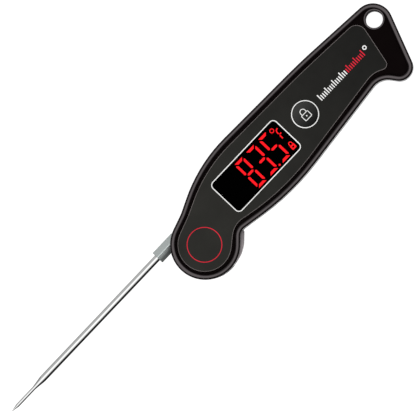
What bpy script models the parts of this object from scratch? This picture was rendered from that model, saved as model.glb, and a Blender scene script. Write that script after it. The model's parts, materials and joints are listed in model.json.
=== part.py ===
"""Folding digital meat thermometer, built as a bench assembly.

The handle lies on its back: +Z is the normal of the display side, the back face is z = 0, and the
origin is where the axis of the folding probe meets the back face. +X runs along the handle towards
the hanging hole and +Y towards its straight edge. The probe is shown fully open, along -X.
All named sizes are in millimetres; MM turns them into Blender's metres.
"""

import math

import bmesh
import bpy
from mathutils import Matrix, Vector

MM = 0.001

# Heights through the handle
THICKNESS = 19.0
PARTING_Z = 9.35          # plane between the two covers, also the middle of the probe's slot
PARTING_GAP = 0.3
SKIN = 1.8                # wall of the rear cover
FRONT_WALL_BOTTOM = 16.4
FRONT_WALL_TOP = 17.6     # floor of the recess that takes the face panel
PANEL_TOP = 18.3
OUTSIDE = (-40.0, -40.0, -10.0, 160.0, 60.0, 40.0)   # block round the whole handle, for trimming

# Outline: a belt drawn round circles (x, y, radius); a negative radius bends inwards
ROUND_END = (-0.2, -0.1, 17.6)
NECK = (18.6, -13.9, -5.3)
BELLY = (53.5, 118.8, 131.5)
FINGER_NOTCH = (115.7, -15.95, -9.1)
HOOK = (130.7, -9.3, 7.0)
HANGING_END = (137.5, 15.2, 10.0)
SPINE = (77.1, -374.4, 403.1)
SHOULDER = (42.8, -50.1, 79.8)
WAIST = (-6.5, 42.5, -24.9)
CASE_OUTLINE = (ROUND_END, NECK, BELLY, FINGER_NOTCH, HOOK, HANGING_END, SPINE, SHOULDER, WAIST)
MAX_TURN = math.radians(10)      # longest step round an arc
BEAD_WIDTH = 2.9          # raised bead round the front cover
BACK_ROUND = 2.2          # round of the back edge
PANEL_OUTLINE = (
    (-0.4, 0.1, 13.5),
    (19.7, -15.8, -11.3),
    (53.2, 118.2, 126.8),
    (116.8, -16.0, -13.7),
    (125.6, -2.0, 2.8),
    (127.3, 16.8, 5.4),
    (76.2, -375.0, 399.6),
    (42.1, -50.9, 76.4),
    (-6.2, 42.7, -28.7),
)
HANG_HOLE = (139.4, 16.2, 4.4)

# Folding probe
PROBE_OFFSET = 13.0       # the probe's axis passes beside the pivot
FOLD_EXTRA = math.radians(4.0)   # closed, the probe lies along the sloping lower edge
PROBE_RADIUS = 1.87
NEEDLE_RADIUS = 0.98
TIP_X = -128.4
POINT_X = -124.0
TAPER_END_X = -112.1
TAPER_START_X = -105.4
COLLAR_START_X = -8.1
COLLAR_END_X = -21.75
COLLAR_HALF_WIDTH = 3.4
COLLAR_RIDGE = 3.25
COLLAR_FLAT = 1.6
COLLAR_SEAT = 3.55        # half width of the hub's slot for the collar
HUB_RADIUS = 17.0
HUB_HALF = 3.5
# Thumb lug on the hub: reach, angle and rounding of its corners
LUG_CORNERS = ((17.9, -74, 8.0), (18.5, -57, 8.0), (19.1, -43, 8.0), (20.2, -28, 1.2))
AXLE_RADIUS = 5.0
AXLE_BORE = 2.4
AXLE_Z = (2.5, 15.6)
CLIP_GROOVE = (4.1, 14.98, 15.42)       # radius, bottom and top
CLIP = (4.25, 6.8, 15.03, 15.36)        # inner and outer radius, bottom and top
BUSH_WALL = (0.05, 1.05, 1.15)          # inside, outside and bore of a bush, beyond the axle's radius
REAR_BUSH_Z = (2.3, 5.4)
FRONT_BUSH_Z = (13.2, 13.9)
HUB_MAGNET = (13.2, 0.0, 1.5)
WIRE_RUN = (1.0, 0.9)                   # half width and half height of the hub's wire passage
POCKET_RADIUS = 20.6
POCKET_HALF = 3.8
SLOT_HALF = 2.2
SLOT_CLEAR = 0.45
WALL = 2.2

# Electronics bay: belt round its corners, concave round the hub pocket
BAY_OUTLINE = (
    (25.5, -3.4, 2.0),
    (122.0, 2.2, 2.0),
    (122.0, 22.5, 2.0),
    (SPINE[0], SPINE[1], SPINE[2] - 2.0),
    (SHOULDER[0], SHOULDER[1], SHOULDER[2] - 2.0),
    (14.4, 20.3, 2.0),
    (0.0, 0.0, -(POCKET_RADIUS + WALL)),
)

# Display, buttons and boards
WINDOW = ((23.3, -1.15), (68.3, 18.15))
WINDOW_LEDGE = 1.1
WINDOW_Z = 17.02
MODULE = ((24.3, -0.6), (67.3, 17.6))
MODULE_Z = (11.35, 16.3)
WIRE_CHAMBER = (13.4, 14.9)             # radius and floor of the room over the axle
BUTTON_XY = (81.4, 8.5)
BUTTON_RADIUS = 6.3
UNIT_XY = (61.0, 8.5)
MAGNET_XY = (44.0, 8.5)
MAGNET_RADIUS = 7.0
BOARD_Z = (9.9, 11.1)
CHIP_Z = (8.75, 9.8)
BOARD_SCREWS = ((39.5, 21.6), (63.5, 21.6))
CASE_SCREWS = ((30.5, 23.0), (72.5, 0.6), (119.0, 22.2), (119.0, 1.9))
BOSS_RADIUS = 3.0
BOARD_BOSS_RADIUS = 2.2
HEAD_BORE = (2.1, 3.0)                  # radius and depth of the bore round a case screw's head
SHANK_BORE = 1.15
CASE_PILOT = 1.1
BOARD_PILOT = 0.95

# Battery bay and door
BATTERY_RADIUS = 5.25
BATTERY_X = (76.6, 121.1)
BATTERY_YZ = (12.0, 7.4)
TRAY = ((71.8, 6.4), (121.8, 17.6))
TRAY_TOP = 12.75
TRAY_WALL = (1.2, 0.6)                  # side and top
DOOR_PAD = ((68.6, 2.8, 0.4), (126.0, 21.2, 3.6))
BATTERY_MOUTH = ((75.0, 6.6), (121.6, 17.4))
TAB_SLOT = (10.7, 13.3, 9.8, 11.2)      # y and z span of the openings for the contacts' tabs
CONTACT_HALF = 4.0
CONTACT_X = ((71.95, 72.25), (121.3, 121.6))
DOOR = ((71.75, 4.6), (131.9, 19.4))
DOOR_GAP = 0.3
DOOR_CORNER = 2.8
DOOR_TAB = ((70.2, 8.0, 1.25), (74.95, 16.0, 1.8))
TAB_POCKET = ((69.0, 7.4, 1.0), (73.0, 16.6, 2.5))
DOOR_HINGE_X = 71.5
DOOR_SCREW_XY = (128.5, 12.0)
REBATE_DEPTH = 2.4

for old in list(bpy.data.objects):
    bpy.data.objects.remove(old)
parts = bpy.data.collections.new("meat_thermometer")
cutters = bpy.data.collections.new("cutters")
for group in (parts, cutters):
    bpy.context.scene.collection.children.link(group)


# ---------------------------------------------------------------- shapes

def belt(circles, inset=0.0):
    """Points of the closed line that runs round the circles, counterclockwise, moved inwards by inset."""
    rings = [(Vector((x, y)), radius - inset) for x, y, radius in circles]
    headings = []
    for (centre, radius), (ahead, next_radius) in zip(rings, rings[1:] + rings[:1]):
        step = ahead - centre
        headings.append(math.atan2(step.y, step.x) - math.asin((next_radius - radius) / step.length))
    points = []
    for (centre, radius), before, after in zip(rings, headings[-1:] + headings[:-1], headings):
        turn = (after - before + math.pi) % math.tau - math.pi
        if radius > 0 > turn:
            turn += math.tau
        count = max(4, math.ceil(abs(turn) / MAX_TURN))
        for i in range(count + 1):
            heading = before + turn * i / count
            points.append((centre.x + radius * math.sin(heading), centre.y - radius * math.cos(heading)))
    return points


def circle(x, y, radius, count=24):
    return [(x + radius * math.cos(math.tau * i / count), y + radius * math.sin(math.tau * i / count))
            for i in range(count)]


def rounded(low, high, radius):
    """Rectangle with rounded corners, as a belt round four small circles."""
    (x0, y0), (x1, y1) = low, high
    r = radius
    return belt(((x0 + r, y0 + r, r), (x1 - r, y0 + r, r), (x1 - r, y1 - r, r), (x0 + r, y1 - r, r)))


def grown(corners, by):
    (x0, y0), (x1, y1) = corners
    return (x0 - by, y0 - by), (x1 + by, y1 + by)


def keep(name, mesh, place=Matrix.Identity(4)):
    made = bpy.data.objects.new(name, mesh)
    parts.objects.link(made)
    made.matrix_world = place
    return made


def prism(name, loops, bottom, top):
    """Flat outline, with any further loops as holes, between two heights."""
    curve = bpy.data.curves.new(name, "CURVE")
    curve.dimensions = "2D"
    curve.fill_mode = "BOTH"
    curve.extrude = (top - bottom) / 2 * MM
    for loop in loops:
        spline = curve.splines.new("POLY")
        spline.points.add(len(loop) - 1)
        spline.use_cyclic_u = True
        for point, (x, y) in zip(spline.points, loop):
            point.co = (x * MM, y * MM, 0, 1)
    drawn = keep(name + "_outline", curve, Matrix.Translation((0, 0, (bottom + top) / 2 * MM)))
    bpy.context.view_layer.update()
    graph = bpy.context.evaluated_depsgraph_get()
    mesh = bpy.data.meshes.new_from_object(drawn.evaluated_get(graph))
    shape = bmesh.new()
    shape.from_mesh(mesh)
    bmesh.ops.remove_doubles(shape, verts=shape.verts, dist=0.001 * MM)
    bmesh.ops.dissolve_limit(shape, angle_limit=math.radians(0.5), verts=shape.verts, edges=shape.edges)
    bmesh.ops.recalc_face_normals(shape, faces=shape.faces)
    shape.to_mesh(mesh)
    shape.free()
    made = keep(name, mesh, drawn.matrix_world.copy())
    bpy.data.objects.remove(drawn)
    return made


def box(name, low, high):
    """Box between two corners (x, y, z)."""
    low, high = Vector(low), Vector(high)
    mesh = bpy.data.meshes.new(name)
    shape = bmesh.new()
    bmesh.ops.create_cube(shape, size=1)
    bmesh.ops.scale(shape, vec=(high - low) * MM, verts=shape.verts)
    shape.to_mesh(mesh)
    shape.free()
    return keep(name, mesh, Matrix.Translation((low + high) / 2 * MM))


def cylinder(name, x, y, radius, bottom, top, count=20):
    """Upright cylinder between two heights."""
    mesh = bpy.data.meshes.new(name)
    shape = bmesh.new()
    bmesh.ops.create_cone(shape, cap_ends=True, segments=count, radius1=radius * MM, radius2=radius * MM,
                          depth=(top - bottom) * MM)
    shape.to_mesh(mesh)
    shape.free()
    return keep(name, mesh, Matrix.Translation((x * MM, y * MM, (bottom + top) / 2 * MM)))


def turned(name, profile, place=Matrix.Identity(4), count=20, closed=False):
    """Profile of (radius, height) points, top to bottom on its outer side, turned about the Z axis."""
    mesh = bpy.data.meshes.new(name)
    shape = bmesh.new()
    points = [shape.verts.new((radius * MM, 0, height * MM)) for radius, height in profile]
    for a, b in zip(points, points[1:] + (points[:1] if closed else [])):
        shape.edges.new((a, b))
    shape.to_mesh(mesh)
    shape.free()
    made = keep(name, mesh, place)
    screw = made.modifiers.new("turn", "SCREW")
    screw.steps = screw.render_steps = count
    screw.use_merge_vertices = True
    screw.merge_threshold = 0.005 * MM
    return made


def wire(name, points, radius):
    """Round wire through points (x, y, z)."""
    curve = bpy.data.curves.new(name, "CURVE")
    curve.dimensions = "3D"
    curve.bevel_depth = radius * MM
    curve.bevel_resolution = 1
    curve.use_fill_caps = True
    spline = curve.splines.new("POLY")
    spline.points.add(len(points) - 1)
    for point, place in zip(spline.points, points):
        point.co = (*(Vector(place) * MM), 1)
    return keep(name, curve)


def combine(target, operation, *tools):
    """Boolean of target with tools, which become hidden helpers."""
    for tool in tools:
        parts.objects.unlink(tool)
        cutters.objects.link(tool)
        tool.hide_render = True
        tool.display_type = "WIRE"
        step = target.modifiers.new(tool.name, "BOOLEAN")
        step.operation = operation
        step.object = tool
    return target


def cut(target, *tools):
    return combine(target, "DIFFERENCE", *tools)


def join(target, *tools):
    return combine(target, "UNION", *tools)


def round_rim(made, width, segments=3):
    """Rounds the two flat rims of a prism and leaves its upright facets alone."""
    bevel = made.modifiers.new("rim", "BEVEL")
    bevel.width = width * MM
    bevel.segments = segments
    bevel.limit_method = "ANGLE"
    bevel.angle_limit = math.radians(60)
    return made


def material(name, colour, roughness, metallic=0.0):
    made = bpy.data.materials.new(name)
    made.use_nodes = True
    surface = made.node_tree.nodes["Principled BSDF"]
    surface.inputs["Base Color"].default_value = (*colour, 1)
    surface.inputs["Roughness"].default_value = roughness
    surface.inputs["Metallic"].default_value = metallic
    return made


def paint(made, *pieces):
    for piece in pieces:
        piece.data.materials.append(made)


def upright(x, y):
    """Placement of a turned piece whose axis stands at (x, y)."""
    return Matrix.Translation((x * MM, y * MM, 0))


def along_x(x, y, z):
    """Placement that lays a turned piece's Z axis along +X, starting at x."""
    return Matrix.Translation((x * MM, y * MM, z * MM)) @ Matrix.Rotation(math.radians(90), 4, "Y")


# ---------------------------------------------------------------- clearances that the moving probe needs

def closed_line(x, beside):
    """y of a line parallel to the closed probe's axis, beside it by a distance towards the spine."""
    return x * math.tan(FOLD_EXTRA) + (beside - PROBE_OFFSET) / math.cos(FOLD_EXTRA)


def slot_cutters(owner):
    """Hub pocket, collar pocket and probe slot, as cutters for one cover."""
    reach = 40.0
    end_radius = math.hypot(TIP_X, PROBE_OFFSET) + 0.9
    beside = PROBE_RADIUS + SLOT_CLEAR
    end_angle = math.asin(closed_line(end_radius, beside) / end_radius)
    sweep = [end_angle - math.radians(2.5) * i for i in range(7)]
    tube = [(10.0, -reach)]
    tube += [(end_radius * math.cos(a), end_radius * math.sin(a)) for a in reversed(sweep)]
    tube += [(10.0, closed_line(10.0, beside))]
    collar_x = -COLLAR_END_X + 0.6
    beside = COLLAR_HALF_WIDTH + SLOT_CLEAR
    collar = [(0.0, -reach), (collar_x + 3.0, -reach), (collar_x, closed_line(collar_x, beside)),
              (0.0, closed_line(0.0, beside))]
    low, high = PARTING_Z - POCKET_HALF, PARTING_Z + POCKET_HALF
    return (
        cylinder(owner + "_hub_pocket", 0, 0, POCKET_RADIUS, low, high, 64),
        prism(owner + "_collar_pocket", [collar], low, high),
        prism(owner + "_probe_slot", [tube], PARTING_Z - SLOT_HALF, PARTING_Z + SLOT_HALF),
    )


# ---------------------------------------------------------------- covers

def rear_cover():
    top = PARTING_Z - PARTING_GAP / 2
    cover = round_rim(prism("rear_cover", [belt(CASE_OUTLINE)], 0, top + 2 * BACK_ROUND), BACK_ROUND)
    cut(cover, box("rear_trim", (*OUTSIDE[:2], top), OUTSIDE[3:]))
    cut(cover, prism("rear_bay", [belt(BAY_OUTLINE)], SKIN, 20))
    (x0, y0), (x1, y1) = TRAY
    tray_low, tray_high = grown(TRAY, TRAY_WALL[0])
    join(
        cover,
        box("door_pad", *DOOR_PAD),
        box("tray_block", (*tray_low, 1.0), (*tray_high, TRAY_TOP + TRAY_WALL[1])),
        cylinder("magnet_boss", *MAGNET_XY, MAGNET_RADIUS + 1.3, 1.0, 3.3),
        *[cylinder(f"rear_boss_{i}", *xy, BOSS_RADIUS, 1.0, top) for i, xy in enumerate(CASE_SCREWS)],
    )
    door = rounded((DOOR_HINGE_X, DOOR[0][1] - DOOR_GAP), grown(DOOR, DOOR_GAP)[1], DOOR_CORNER + 0.1)
    tab_low, tab_high, tab_bottom, tab_top = TAB_SLOT
    cut(
        cover,
        prism("door_rebate", [door], -5, REBATE_DEPTH),
        box("tray_inside", (x0, y0, 3.0), (x1, y1, TRAY_TOP)),
        prism("battery_mouth", [rounded(*BATTERY_MOUTH, 1.0)], 0, 5),
        box("door_tab_pocket", *TAB_POCKET),
        box("positive_tab_hole", (x1 - 0.5, tab_low, tab_bottom), (x1 + 2, tab_high, tab_top)),
        box("negative_tab_hole", (x0 - 2, tab_low, tab_bottom), (x0 + 0.5, tab_high, tab_top)),
        cylinder("door_screw_hole", *DOOR_SCREW_XY, 1.6, 1, 7.2),
        cylinder("rear_bush_bore", 0, 0, AXLE_RADIUS + BUSH_WALL[2], REAR_BUSH_Z[0] - 0.1, 8, 32),
        cylinder("rear_hang_hole", *HANG_HOLE, -5, 20, 40),
        cylinder("magnet_pocket", *MAGNET_XY, MAGNET_RADIUS + 0.1, -5, 2.3, 40),
        cylinder("unit_hole", *UNIT_XY, 3.3, -5, 5, 24),
        prism("seal_groove", [belt(BAY_OUTLINE, -1.45), belt(BAY_OUTLINE, -0.55)], 8.5, 12),
        *[
            cylinder(f"head_bore_{i}", *xy, HEAD_BORE[0], -5, HEAD_BORE[1])
            for i, xy in enumerate(CASE_SCREWS)
        ],
        *[cylinder(f"shank_bore_{i}", *xy, SHANK_BORE, 2, 15, 16) for i, xy in enumerate(CASE_SCREWS)],
        *slot_cutters("rear"),
    )
    return cover


def front_cover():
    bottom = PARTING_Z + PARTING_GAP / 2
    rim = BEAD_WIDTH / 2
    cover = round_rim(prism("front_cover", [belt(CASE_OUTLINE)], bottom - 2 * rim, THICKNESS), rim)
    cut(
        cover,
        box("front_trim", OUTSIDE[:3], (*OUTSIDE[3:5], bottom)),
        prism("panel_recess", [belt(CASE_OUTLINE, BEAD_WIDTH)], FRONT_WALL_TOP, 25),
        prism("front_bay", [belt(BAY_OUTLINE)], 5, FRONT_WALL_BOTTOM),
        cylinder("wire_chamber", 0, 0, *WIRE_CHAMBER, FRONT_WALL_BOTTOM, 40),
        box("wire_channel", (8, -4, WIRE_CHAMBER[1]), (26, 4, FRONT_WALL_BOTTOM)),
    )
    join(
        cover,
        *[cylinder(f"front_boss_{i}", *xy, BOSS_RADIUS, bottom, 17) for i, xy in enumerate(CASE_SCREWS)],
        *[cylinder(f"board_boss_{i}", *xy, BOARD_BOSS_RADIUS, BOARD_Z[1] + 0.1, 17)
          for i, xy in enumerate(BOARD_SCREWS)],
    )
    cut(
        cover,
        prism("window_seat", [rounded(*grown(WINDOW, 0.1), 2.0)], WINDOW_Z - 0.07, 25),
        prism("window_opening", [rounded(*grown(WINDOW, -WINDOW_LEDGE), 1.2)], 15, 25),
        cylinder("button_opening", *BUTTON_XY, BUTTON_RADIUS + 0.12, 15, 25, 40),
        cylinder("front_bush_bore", 0, 0, AXLE_RADIUS + BUSH_WALL[2], 10, 15.5, 32),
        cylinder("front_hang_hole", *HANG_HOLE, -5, 25, 40),
        *[cylinder(f"front_pilot_{i}", *xy, CASE_PILOT, 5, 14.9, 16) for i, xy in enumerate(CASE_SCREWS)],
        *[cylinder(f"board_pilot_{i}", *xy, BOARD_PILOT, 10, 15, 16) for i, xy in enumerate(BOARD_SCREWS)],
        *slot_cutters("front"),
    )
    return cover


def face_panel():
    holes = [rounded(*grown(WINDOW, 0.15), 2.0), circle(*BUTTON_XY, BUTTON_RADIUS + 0.15, 40)]
    return prism("face_panel", [belt(PANEL_OUTLINE), *holes], FRONT_WALL_TOP + 0.05, PANEL_TOP)


def case_gasket():
    return prism("case_gasket", [belt(BAY_OUTLINE, -1.35), belt(BAY_OUTLINE, -0.65)], 8.56, 9.44)


# ---------------------------------------------------------------- probe and pivot

def probe_hub():
    low, high = PARTING_Z - HUB_HALF, PARTING_Z + HUB_HALF
    hub = cylinder("probe_hub", 0, 0, HUB_RADIUS, low, high, 64)
    lug = []
    for reach, degrees, corner in LUG_CORNERS:
        angle = math.radians(degrees)
        inner_reach = reach - corner
        lug.append((inner_reach * math.cos(angle), inner_reach * math.sin(angle), corner))
    groove, groove_bottom, groove_top = CLIP_GROOVE
    axle_bottom, axle_top = AXLE_Z
    axle = turned("hub_axle", [
        (0, axle_top), (AXLE_RADIUS, axle_top), (AXLE_RADIUS, groove_top), (groove, groove_top),
        (groove, groove_bottom), (AXLE_RADIUS, groove_bottom), (AXLE_RADIUS, axle_bottom), (0, axle_bottom),
    ], count=32)
    join(hub, prism("hub_lug", [belt(((0.0, 0.0, 12.0), *lug))], low, high), axle)
    wide, tall = WIRE_RUN
    run_low, run_high = PARTING_Z - tall, PARTING_Z + tall
    magnet_x, magnet_y, magnet_radius = HUB_MAGNET
    seat_low, seat_high = PROBE_OFFSET - COLLAR_SEAT, PROBE_OFFSET + COLLAR_SEAT
    cut(
        hub,
        box("collar_seat", (-30, seat_low, 0), (COLLAR_START_X + 0.2, seat_high, 30)),
        cylinder("axle_bore", 0, 0, AXLE_BORE, PARTING_Z - 1, 30),
        box("wire_run_along", (-9, PROBE_OFFSET - wide, run_low), (1.3, PROBE_OFFSET + wide, run_high)),
        box("wire_run_across", (-1.3, 0, run_low), (1.3, PROBE_OFFSET + wide, run_high)),
        cylinder("hub_magnet_pocket", magnet_x, magnet_y, magnet_radius + 0.1, PARTING_Z + 0.2, 30),
    )
    return hub


def probe_collar():
    """Six-sided ferrule with one ridge towards the display side and one towards the back."""
    half, flat, ridge = COLLAR_HALF_WIDTH, COLLAR_FLAT, COLLAR_RIDGE
    section = [(-half, -flat), (0, -ridge), (half, -flat), (half, flat), (0, ridge), (-half, flat)]
    length = COLLAR_START_X - COLLAR_END_X
    collar = prism("probe_collar", [section], 0, length)
    collar.matrix_world = (
        Matrix.Translation(Vector((COLLAR_END_X, PROBE_OFFSET, PARTING_Z)) * MM)
        @ Matrix.Rotation(math.radians(90), 4, "Z")
        @ Matrix.Rotation(math.radians(90), 4, "X")
        @ Matrix.Translation((0, 0, length / 2 * MM))
    )
    bevel = collar.modifiers.new("edges", "BEVEL")
    bevel.width = 0.25 * MM
    bevel.segments = 1
    bevel.limit_method = "ANGLE"
    bevel.angle_limit = math.radians(50)
    bore = cylinder("collar_bore", 0, 0, PROBE_RADIUS + 0.06, -20, 20, 24)
    bore.matrix_world = along_x((COLLAR_START_X + COLLAR_END_X) / 2, PROBE_OFFSET, PARTING_Z)
    return cut(collar, bore)


def probe_tube():
    """Drawn steel tube: full size, swaged down to a needle, closed in a point, open at the hub."""
    start = TIP_X
    outer = [(PROBE_RADIUS, -9.0 - start), (PROBE_RADIUS, TAPER_START_X - start),
             (NEEDLE_RADIUS, TAPER_END_X - start), (NEEDLE_RADIUS, POINT_X - start), (0, 0)]
    inner = [(0, 3.2), (0.6, 3.6), (0.6, TAPER_END_X - start + 0.4), (1.3, TAPER_START_X - start + 0.6),
             (1.3, -9.0 - start)]
    return turned("probe_tube", [*outer, *inner, outer[0]], along_x(start, PROBE_OFFSET, PARTING_Z), 24)


def probe_wiring():
    """Sensor bead in the needle and its two leads, out through the hub's hollow axle."""
    bead = turned("sensor_bead", [(0, 1.6), (0.42, 1.3), (0.5, 0.8), (0.42, 0.3), (0, 0)],
                  along_x(TIP_X + 4.0, PROBE_OFFSET, PARTING_Z), 12)
    leads = []
    for name, side in (("probe_lead_red", 1), ("probe_lead_black", -1)):
        aside = 0.27 * side
        start_x = TIP_X + 5.8
        leads.append(wire(name, [
            (start_x, PROBE_OFFSET + aside, PARTING_Z), (-7.0, PROBE_OFFSET + aside, PARTING_Z),
            (-2.0, PROBE_OFFSET + aside, PARTING_Z), (aside, PROBE_OFFSET - 2.0 + aside, PARTING_Z),
            (aside, 1.6, PARTING_Z), (aside, 0.6, PARTING_Z + 1.0), (aside, 0.4, 15.2),
        ], 0.18))
    return bead, *leads


def axle_clip():
    """Spring clip, open on one side, in the groove near the axle's end."""
    inner, outer, bottom, top = CLIP
    opening = math.radians(35)
    count = 24
    angles = [opening + (math.tau - 2 * opening) * i / count for i in range(count + 1)]
    loop = [(outer * math.cos(a), outer * math.sin(a)) for a in angles]
    loop += [(inner * math.cos(a), inner * math.sin(a)) for a in reversed(angles)]
    return prism("axle_clip", [loop], bottom, top)


def ring(name, inner, outer, bottom, top, count=32):
    """Flat-ended ring."""
    profile = [(outer, top), (outer, bottom), (inner, bottom), (inner, top)]
    return turned(name, profile, count=count, closed=True)


def axle_seal():
    """Round-section ring between the front bush and the clip."""
    centre_radius, centre_z, section = AXLE_RADIUS + 0.58, 14.43, 0.44
    profile = [(centre_radius + section * math.cos(a), centre_z + section * math.sin(a))
               for a in [-math.tau * i / 8 for i in range(8)]]
    return turned("axle_seal", profile, count=32, closed=True)


# ---------------------------------------------------------------- display side

def display_window():
    return prism("display_window", [rounded(*WINDOW, 1.9)], WINDOW_Z, PANEL_TOP - 0.05)


def main_board():
    outline = [(25.5, -1.6), (67.0, -1.6), (67.0, 24.0), (36.0, 24.0), (36.0, 19.2), (25.5, 19.2)]
    holes = [circle(x, y, 1.0, 16) for x, y in BOARD_SCREWS]
    return prism("main_board", [outline, *holes], *BOARD_Z)


def lock_button():
    """Round cap with a faintly dished top and a flange under the front wall."""
    return turned("lock_button", [
        (0, 18.42), (4.6, 18.5), (5.9, 18.5), (BUTTON_RADIUS, 18.2), (BUTTON_RADIUS, 16.2), (7.1, 16.2),
        (7.1, 15.62), (0, 15.62),
    ], upright(*BUTTON_XY), 40)


def lock_switch():
    x, y = BUTTON_XY
    body = box("lock_switch", (x - 2.6, y - 2.6, 14.15), (x + 2.6, y + 2.6, 15.2))
    return cut(body, cylinder("lock_switch_well", x, y, 1.45, 14.5, 16, 16))


def unit_button():
    """Small rubber key in the back, with a flange inside and a stem up to its plunger."""
    return turned("unit_button", [
        (0, 5.1), (1.6, 5.1), (1.6, 2.7), (4.0, 2.7), (4.0, 2.1),
        (3.1, 2.1), (3.1, 0.5), (2.6, 0.25), (0, 0.25),
    ], upright(*UNIT_XY), 24)


def unit_switch():
    x, y = UNIT_XY
    body = box("unit_switch", (x - 3, y - 3, 6.2), (x + 3, y + 3, 9.8))
    return cut(body, cylinder("unit_switch_well", x, y, 1.8, 5, 7.4, 16))


def button_ribbon():
    """Flat cable from the main board, up beside the display module, to the button board."""
    path = [(66.0, 11.25), (68.6, 11.25), (69.6, 13.9), (73.4, 14.2), (77.0, 14.2)]
    mesh = bpy.data.meshes.new("button_ribbon")
    shape = bmesh.new()
    points = [shape.verts.new((x * MM, 20.4 * MM, z * MM)) for x, z in path]
    for a, b in zip(points, points[1:]):
        shape.edges.new((a, b))
    wide = bmesh.ops.extrude_edge_only(shape, edges=shape.edges)["geom"]
    far_edge = [item for item in wide if isinstance(item, bmesh.types.BMVert)]
    bmesh.ops.translate(shape, vec=(0, 2.8 * MM, 0), verts=far_edge)
    bmesh.ops.recalc_face_normals(shape, faces=shape.faces)
    shape.to_mesh(mesh)
    shape.free()
    ribbon = keep("button_ribbon", mesh)
    skin = ribbon.modifiers.new("thickness", "SOLIDIFY")
    skin.thickness = 0.15 * MM
    skin.offset = 0
    return ribbon


# ---------------------------------------------------------------- battery bay

def battery():
    x0, x1 = BATTERY_X
    r = BATTERY_RADIUS
    length = x1 - x0
    return turned("battery", [(0, length), (1.9, length), (1.9, length - 1.0), (r - 0.4, length - 1.0),
                              (r, length - 1.4), (r, 0.4), (r - 0.4, 0), (0, 0)],
                  along_x(x0, *BATTERY_YZ), 32)


def battery_contacts():
    """Sheet contacts at the tray's ends, with solder tabs, and the coil on the negative one."""
    y, z = BATTERY_YZ
    (negative_x, negative_end), (positive_x, positive_end) = CONTACT_X
    low, high = (y - CONTACT_HALF, z - CONTACT_HALF), (y + CONTACT_HALF, z + CONTACT_HALF)
    positive = box("positive_contact", (positive_x, *low), (positive_end, *high))
    join(positive, box("positive_tab", (positive_x + 0.1, y - 1, 10.0), (123.0, y + 1, 10.8)))
    negative = box("negative_contact", (negative_x, *low), (negative_end, *high))
    join(negative, box("negative_tab", (70.4, y - 1, 10.0), (negative_end - 0.15, y + 1, 10.8)))
    turns, per_turn = 4, 10
    start = negative_end + 0.5
    coil = []
    for i in range(turns * per_turn + 1):
        share = i / (turns * per_turn)
        angle = math.tau * turns * share
        radius = 3.7 - 1.2 * share
        coil.append((start + 3.35 * share, y + radius * math.cos(angle), z + radius * math.sin(angle)))
    return positive, negative, wire("negative_spring", coil, 0.3)


def battery_door():
    """Flat cover with a tab that hooks under the rebate's edge and a sunk bore for its screw."""
    door = prism("battery_door", [rounded(*DOOR, DOOR_CORNER)], 0, SKIN)
    join(door, box("door_tab", *DOOR_TAB))
    return cut(door, cylinder("door_head_bore", *DOOR_SCREW_XY, 2.6, -2, 1.0, 24),
               cylinder("door_shank_bore", *DOOR_SCREW_XY, 1.3, -2, 3))


def door_gasket():
    """Flat ring of rubber between the door and the pad round the battery's mouth."""
    outer, inner = rounded((73.2, 5.0), (123.4, 19.0), 2.4), rounded((74.6, 6.2), (122.0, 17.8), 1.6)
    return prism("door_gasket", [outer, inner], SKIN + 0.05, REBATE_DEPTH - 0.05)


def screw(name, x, y, head_bottom, head_top, head_radius, shank_radius, tip):
    """Cross-head screw driven from the back: its head faces -Z and its shank points to +Z."""
    made = turned(name, [
        (0, tip), (shank_radius * 0.5, tip), (shank_radius, tip - 0.8), (shank_radius, head_top),
        (head_radius, head_top), (head_radius, head_bottom + 0.3), (head_radius - 0.3, head_bottom),
        (0, head_bottom),
    ], upright(x, y), 16)
    reach, half = head_radius * 0.62, 0.22
    depth = head_bottom + 0.55
    under = head_bottom - 1
    return cut(
        made,
        box(name + "_slot_a", (x - reach, y - half, under), (x + reach, y + half, depth)),
        box(name + "_slot_b", (x - half, y - reach, under), (x + half, y + reach, depth)),
    )


def group(name, place, pieces):
    """Empty on a joint's axis, with the pieces that move about it."""
    axis = bpy.data.objects.new(name, None)
    parts.objects.link(axis)
    axis.location = Vector(place) * MM
    bpy.context.view_layer.update()
    for piece in pieces:
        piece.parent = axis
        piece.matrix_parent_inverse = axis.matrix_world.inverted()
    return axis


# ---------------------------------------------------------------- assembly

black_shell = material("black_shell", (0.008, 0.006, 0.007), 0.28)
hub_grey = material("hub_grey", (0.090, 0.078, 0.081), 0.22)
dark_panel = material("dark_panel", (0.026, 0.026, 0.023), 0.45)
smoked_lens = material("smoked_lens", (0.001, 0.001, 0.001), 0.08)
steel = material("steel", (0.62, 0.62, 0.60), 0.18, 1.0)
satin_alloy = material("satin_alloy", (0.38, 0.43, 0.42), 0.38, 1.0)
rubber = material("rubber", (0.02, 0.02, 0.02), 0.8)
board_green = material("board_green", (0.01, 0.12, 0.04), 0.5)
chip_black = material("chip_black", (0.015, 0.015, 0.016), 0.5)
brass = material("brass", (0.6, 0.42, 0.15), 0.35, 1.0)
bronze = material("bronze", (0.45, 0.27, 0.12), 0.4, 1.0)
magnet_nickel = material("magnet_nickel", (0.55, 0.55, 0.52), 0.25, 1.0)
cell_wrap = material("cell_wrap", (0.05, 0.05, 0.06), 0.35)
red_insulation = material("red_insulation", (0.5, 0.01, 0.01), 0.5)
black_insulation = material("black_insulation", (0.01, 0.01, 0.01), 0.5)
flex_amber = material("flex_amber", (0.45, 0.16, 0.02), 0.4)
glass = material("glass", (0.5, 0.6, 0.55), 0.1)

rear, front = rear_cover(), front_cover()
hub = probe_hub()
paint(black_shell, rear, front)
paint(hub_grey, hub)
panel = face_panel()
paint(dark_panel, panel)
window = display_window()
paint(smoked_lens, window)
module = box("display_module", (*MODULE[0], MODULE_Z[0]), (*MODULE[1], MODULE_Z[1]))
paint(chip_black, module)

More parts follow.
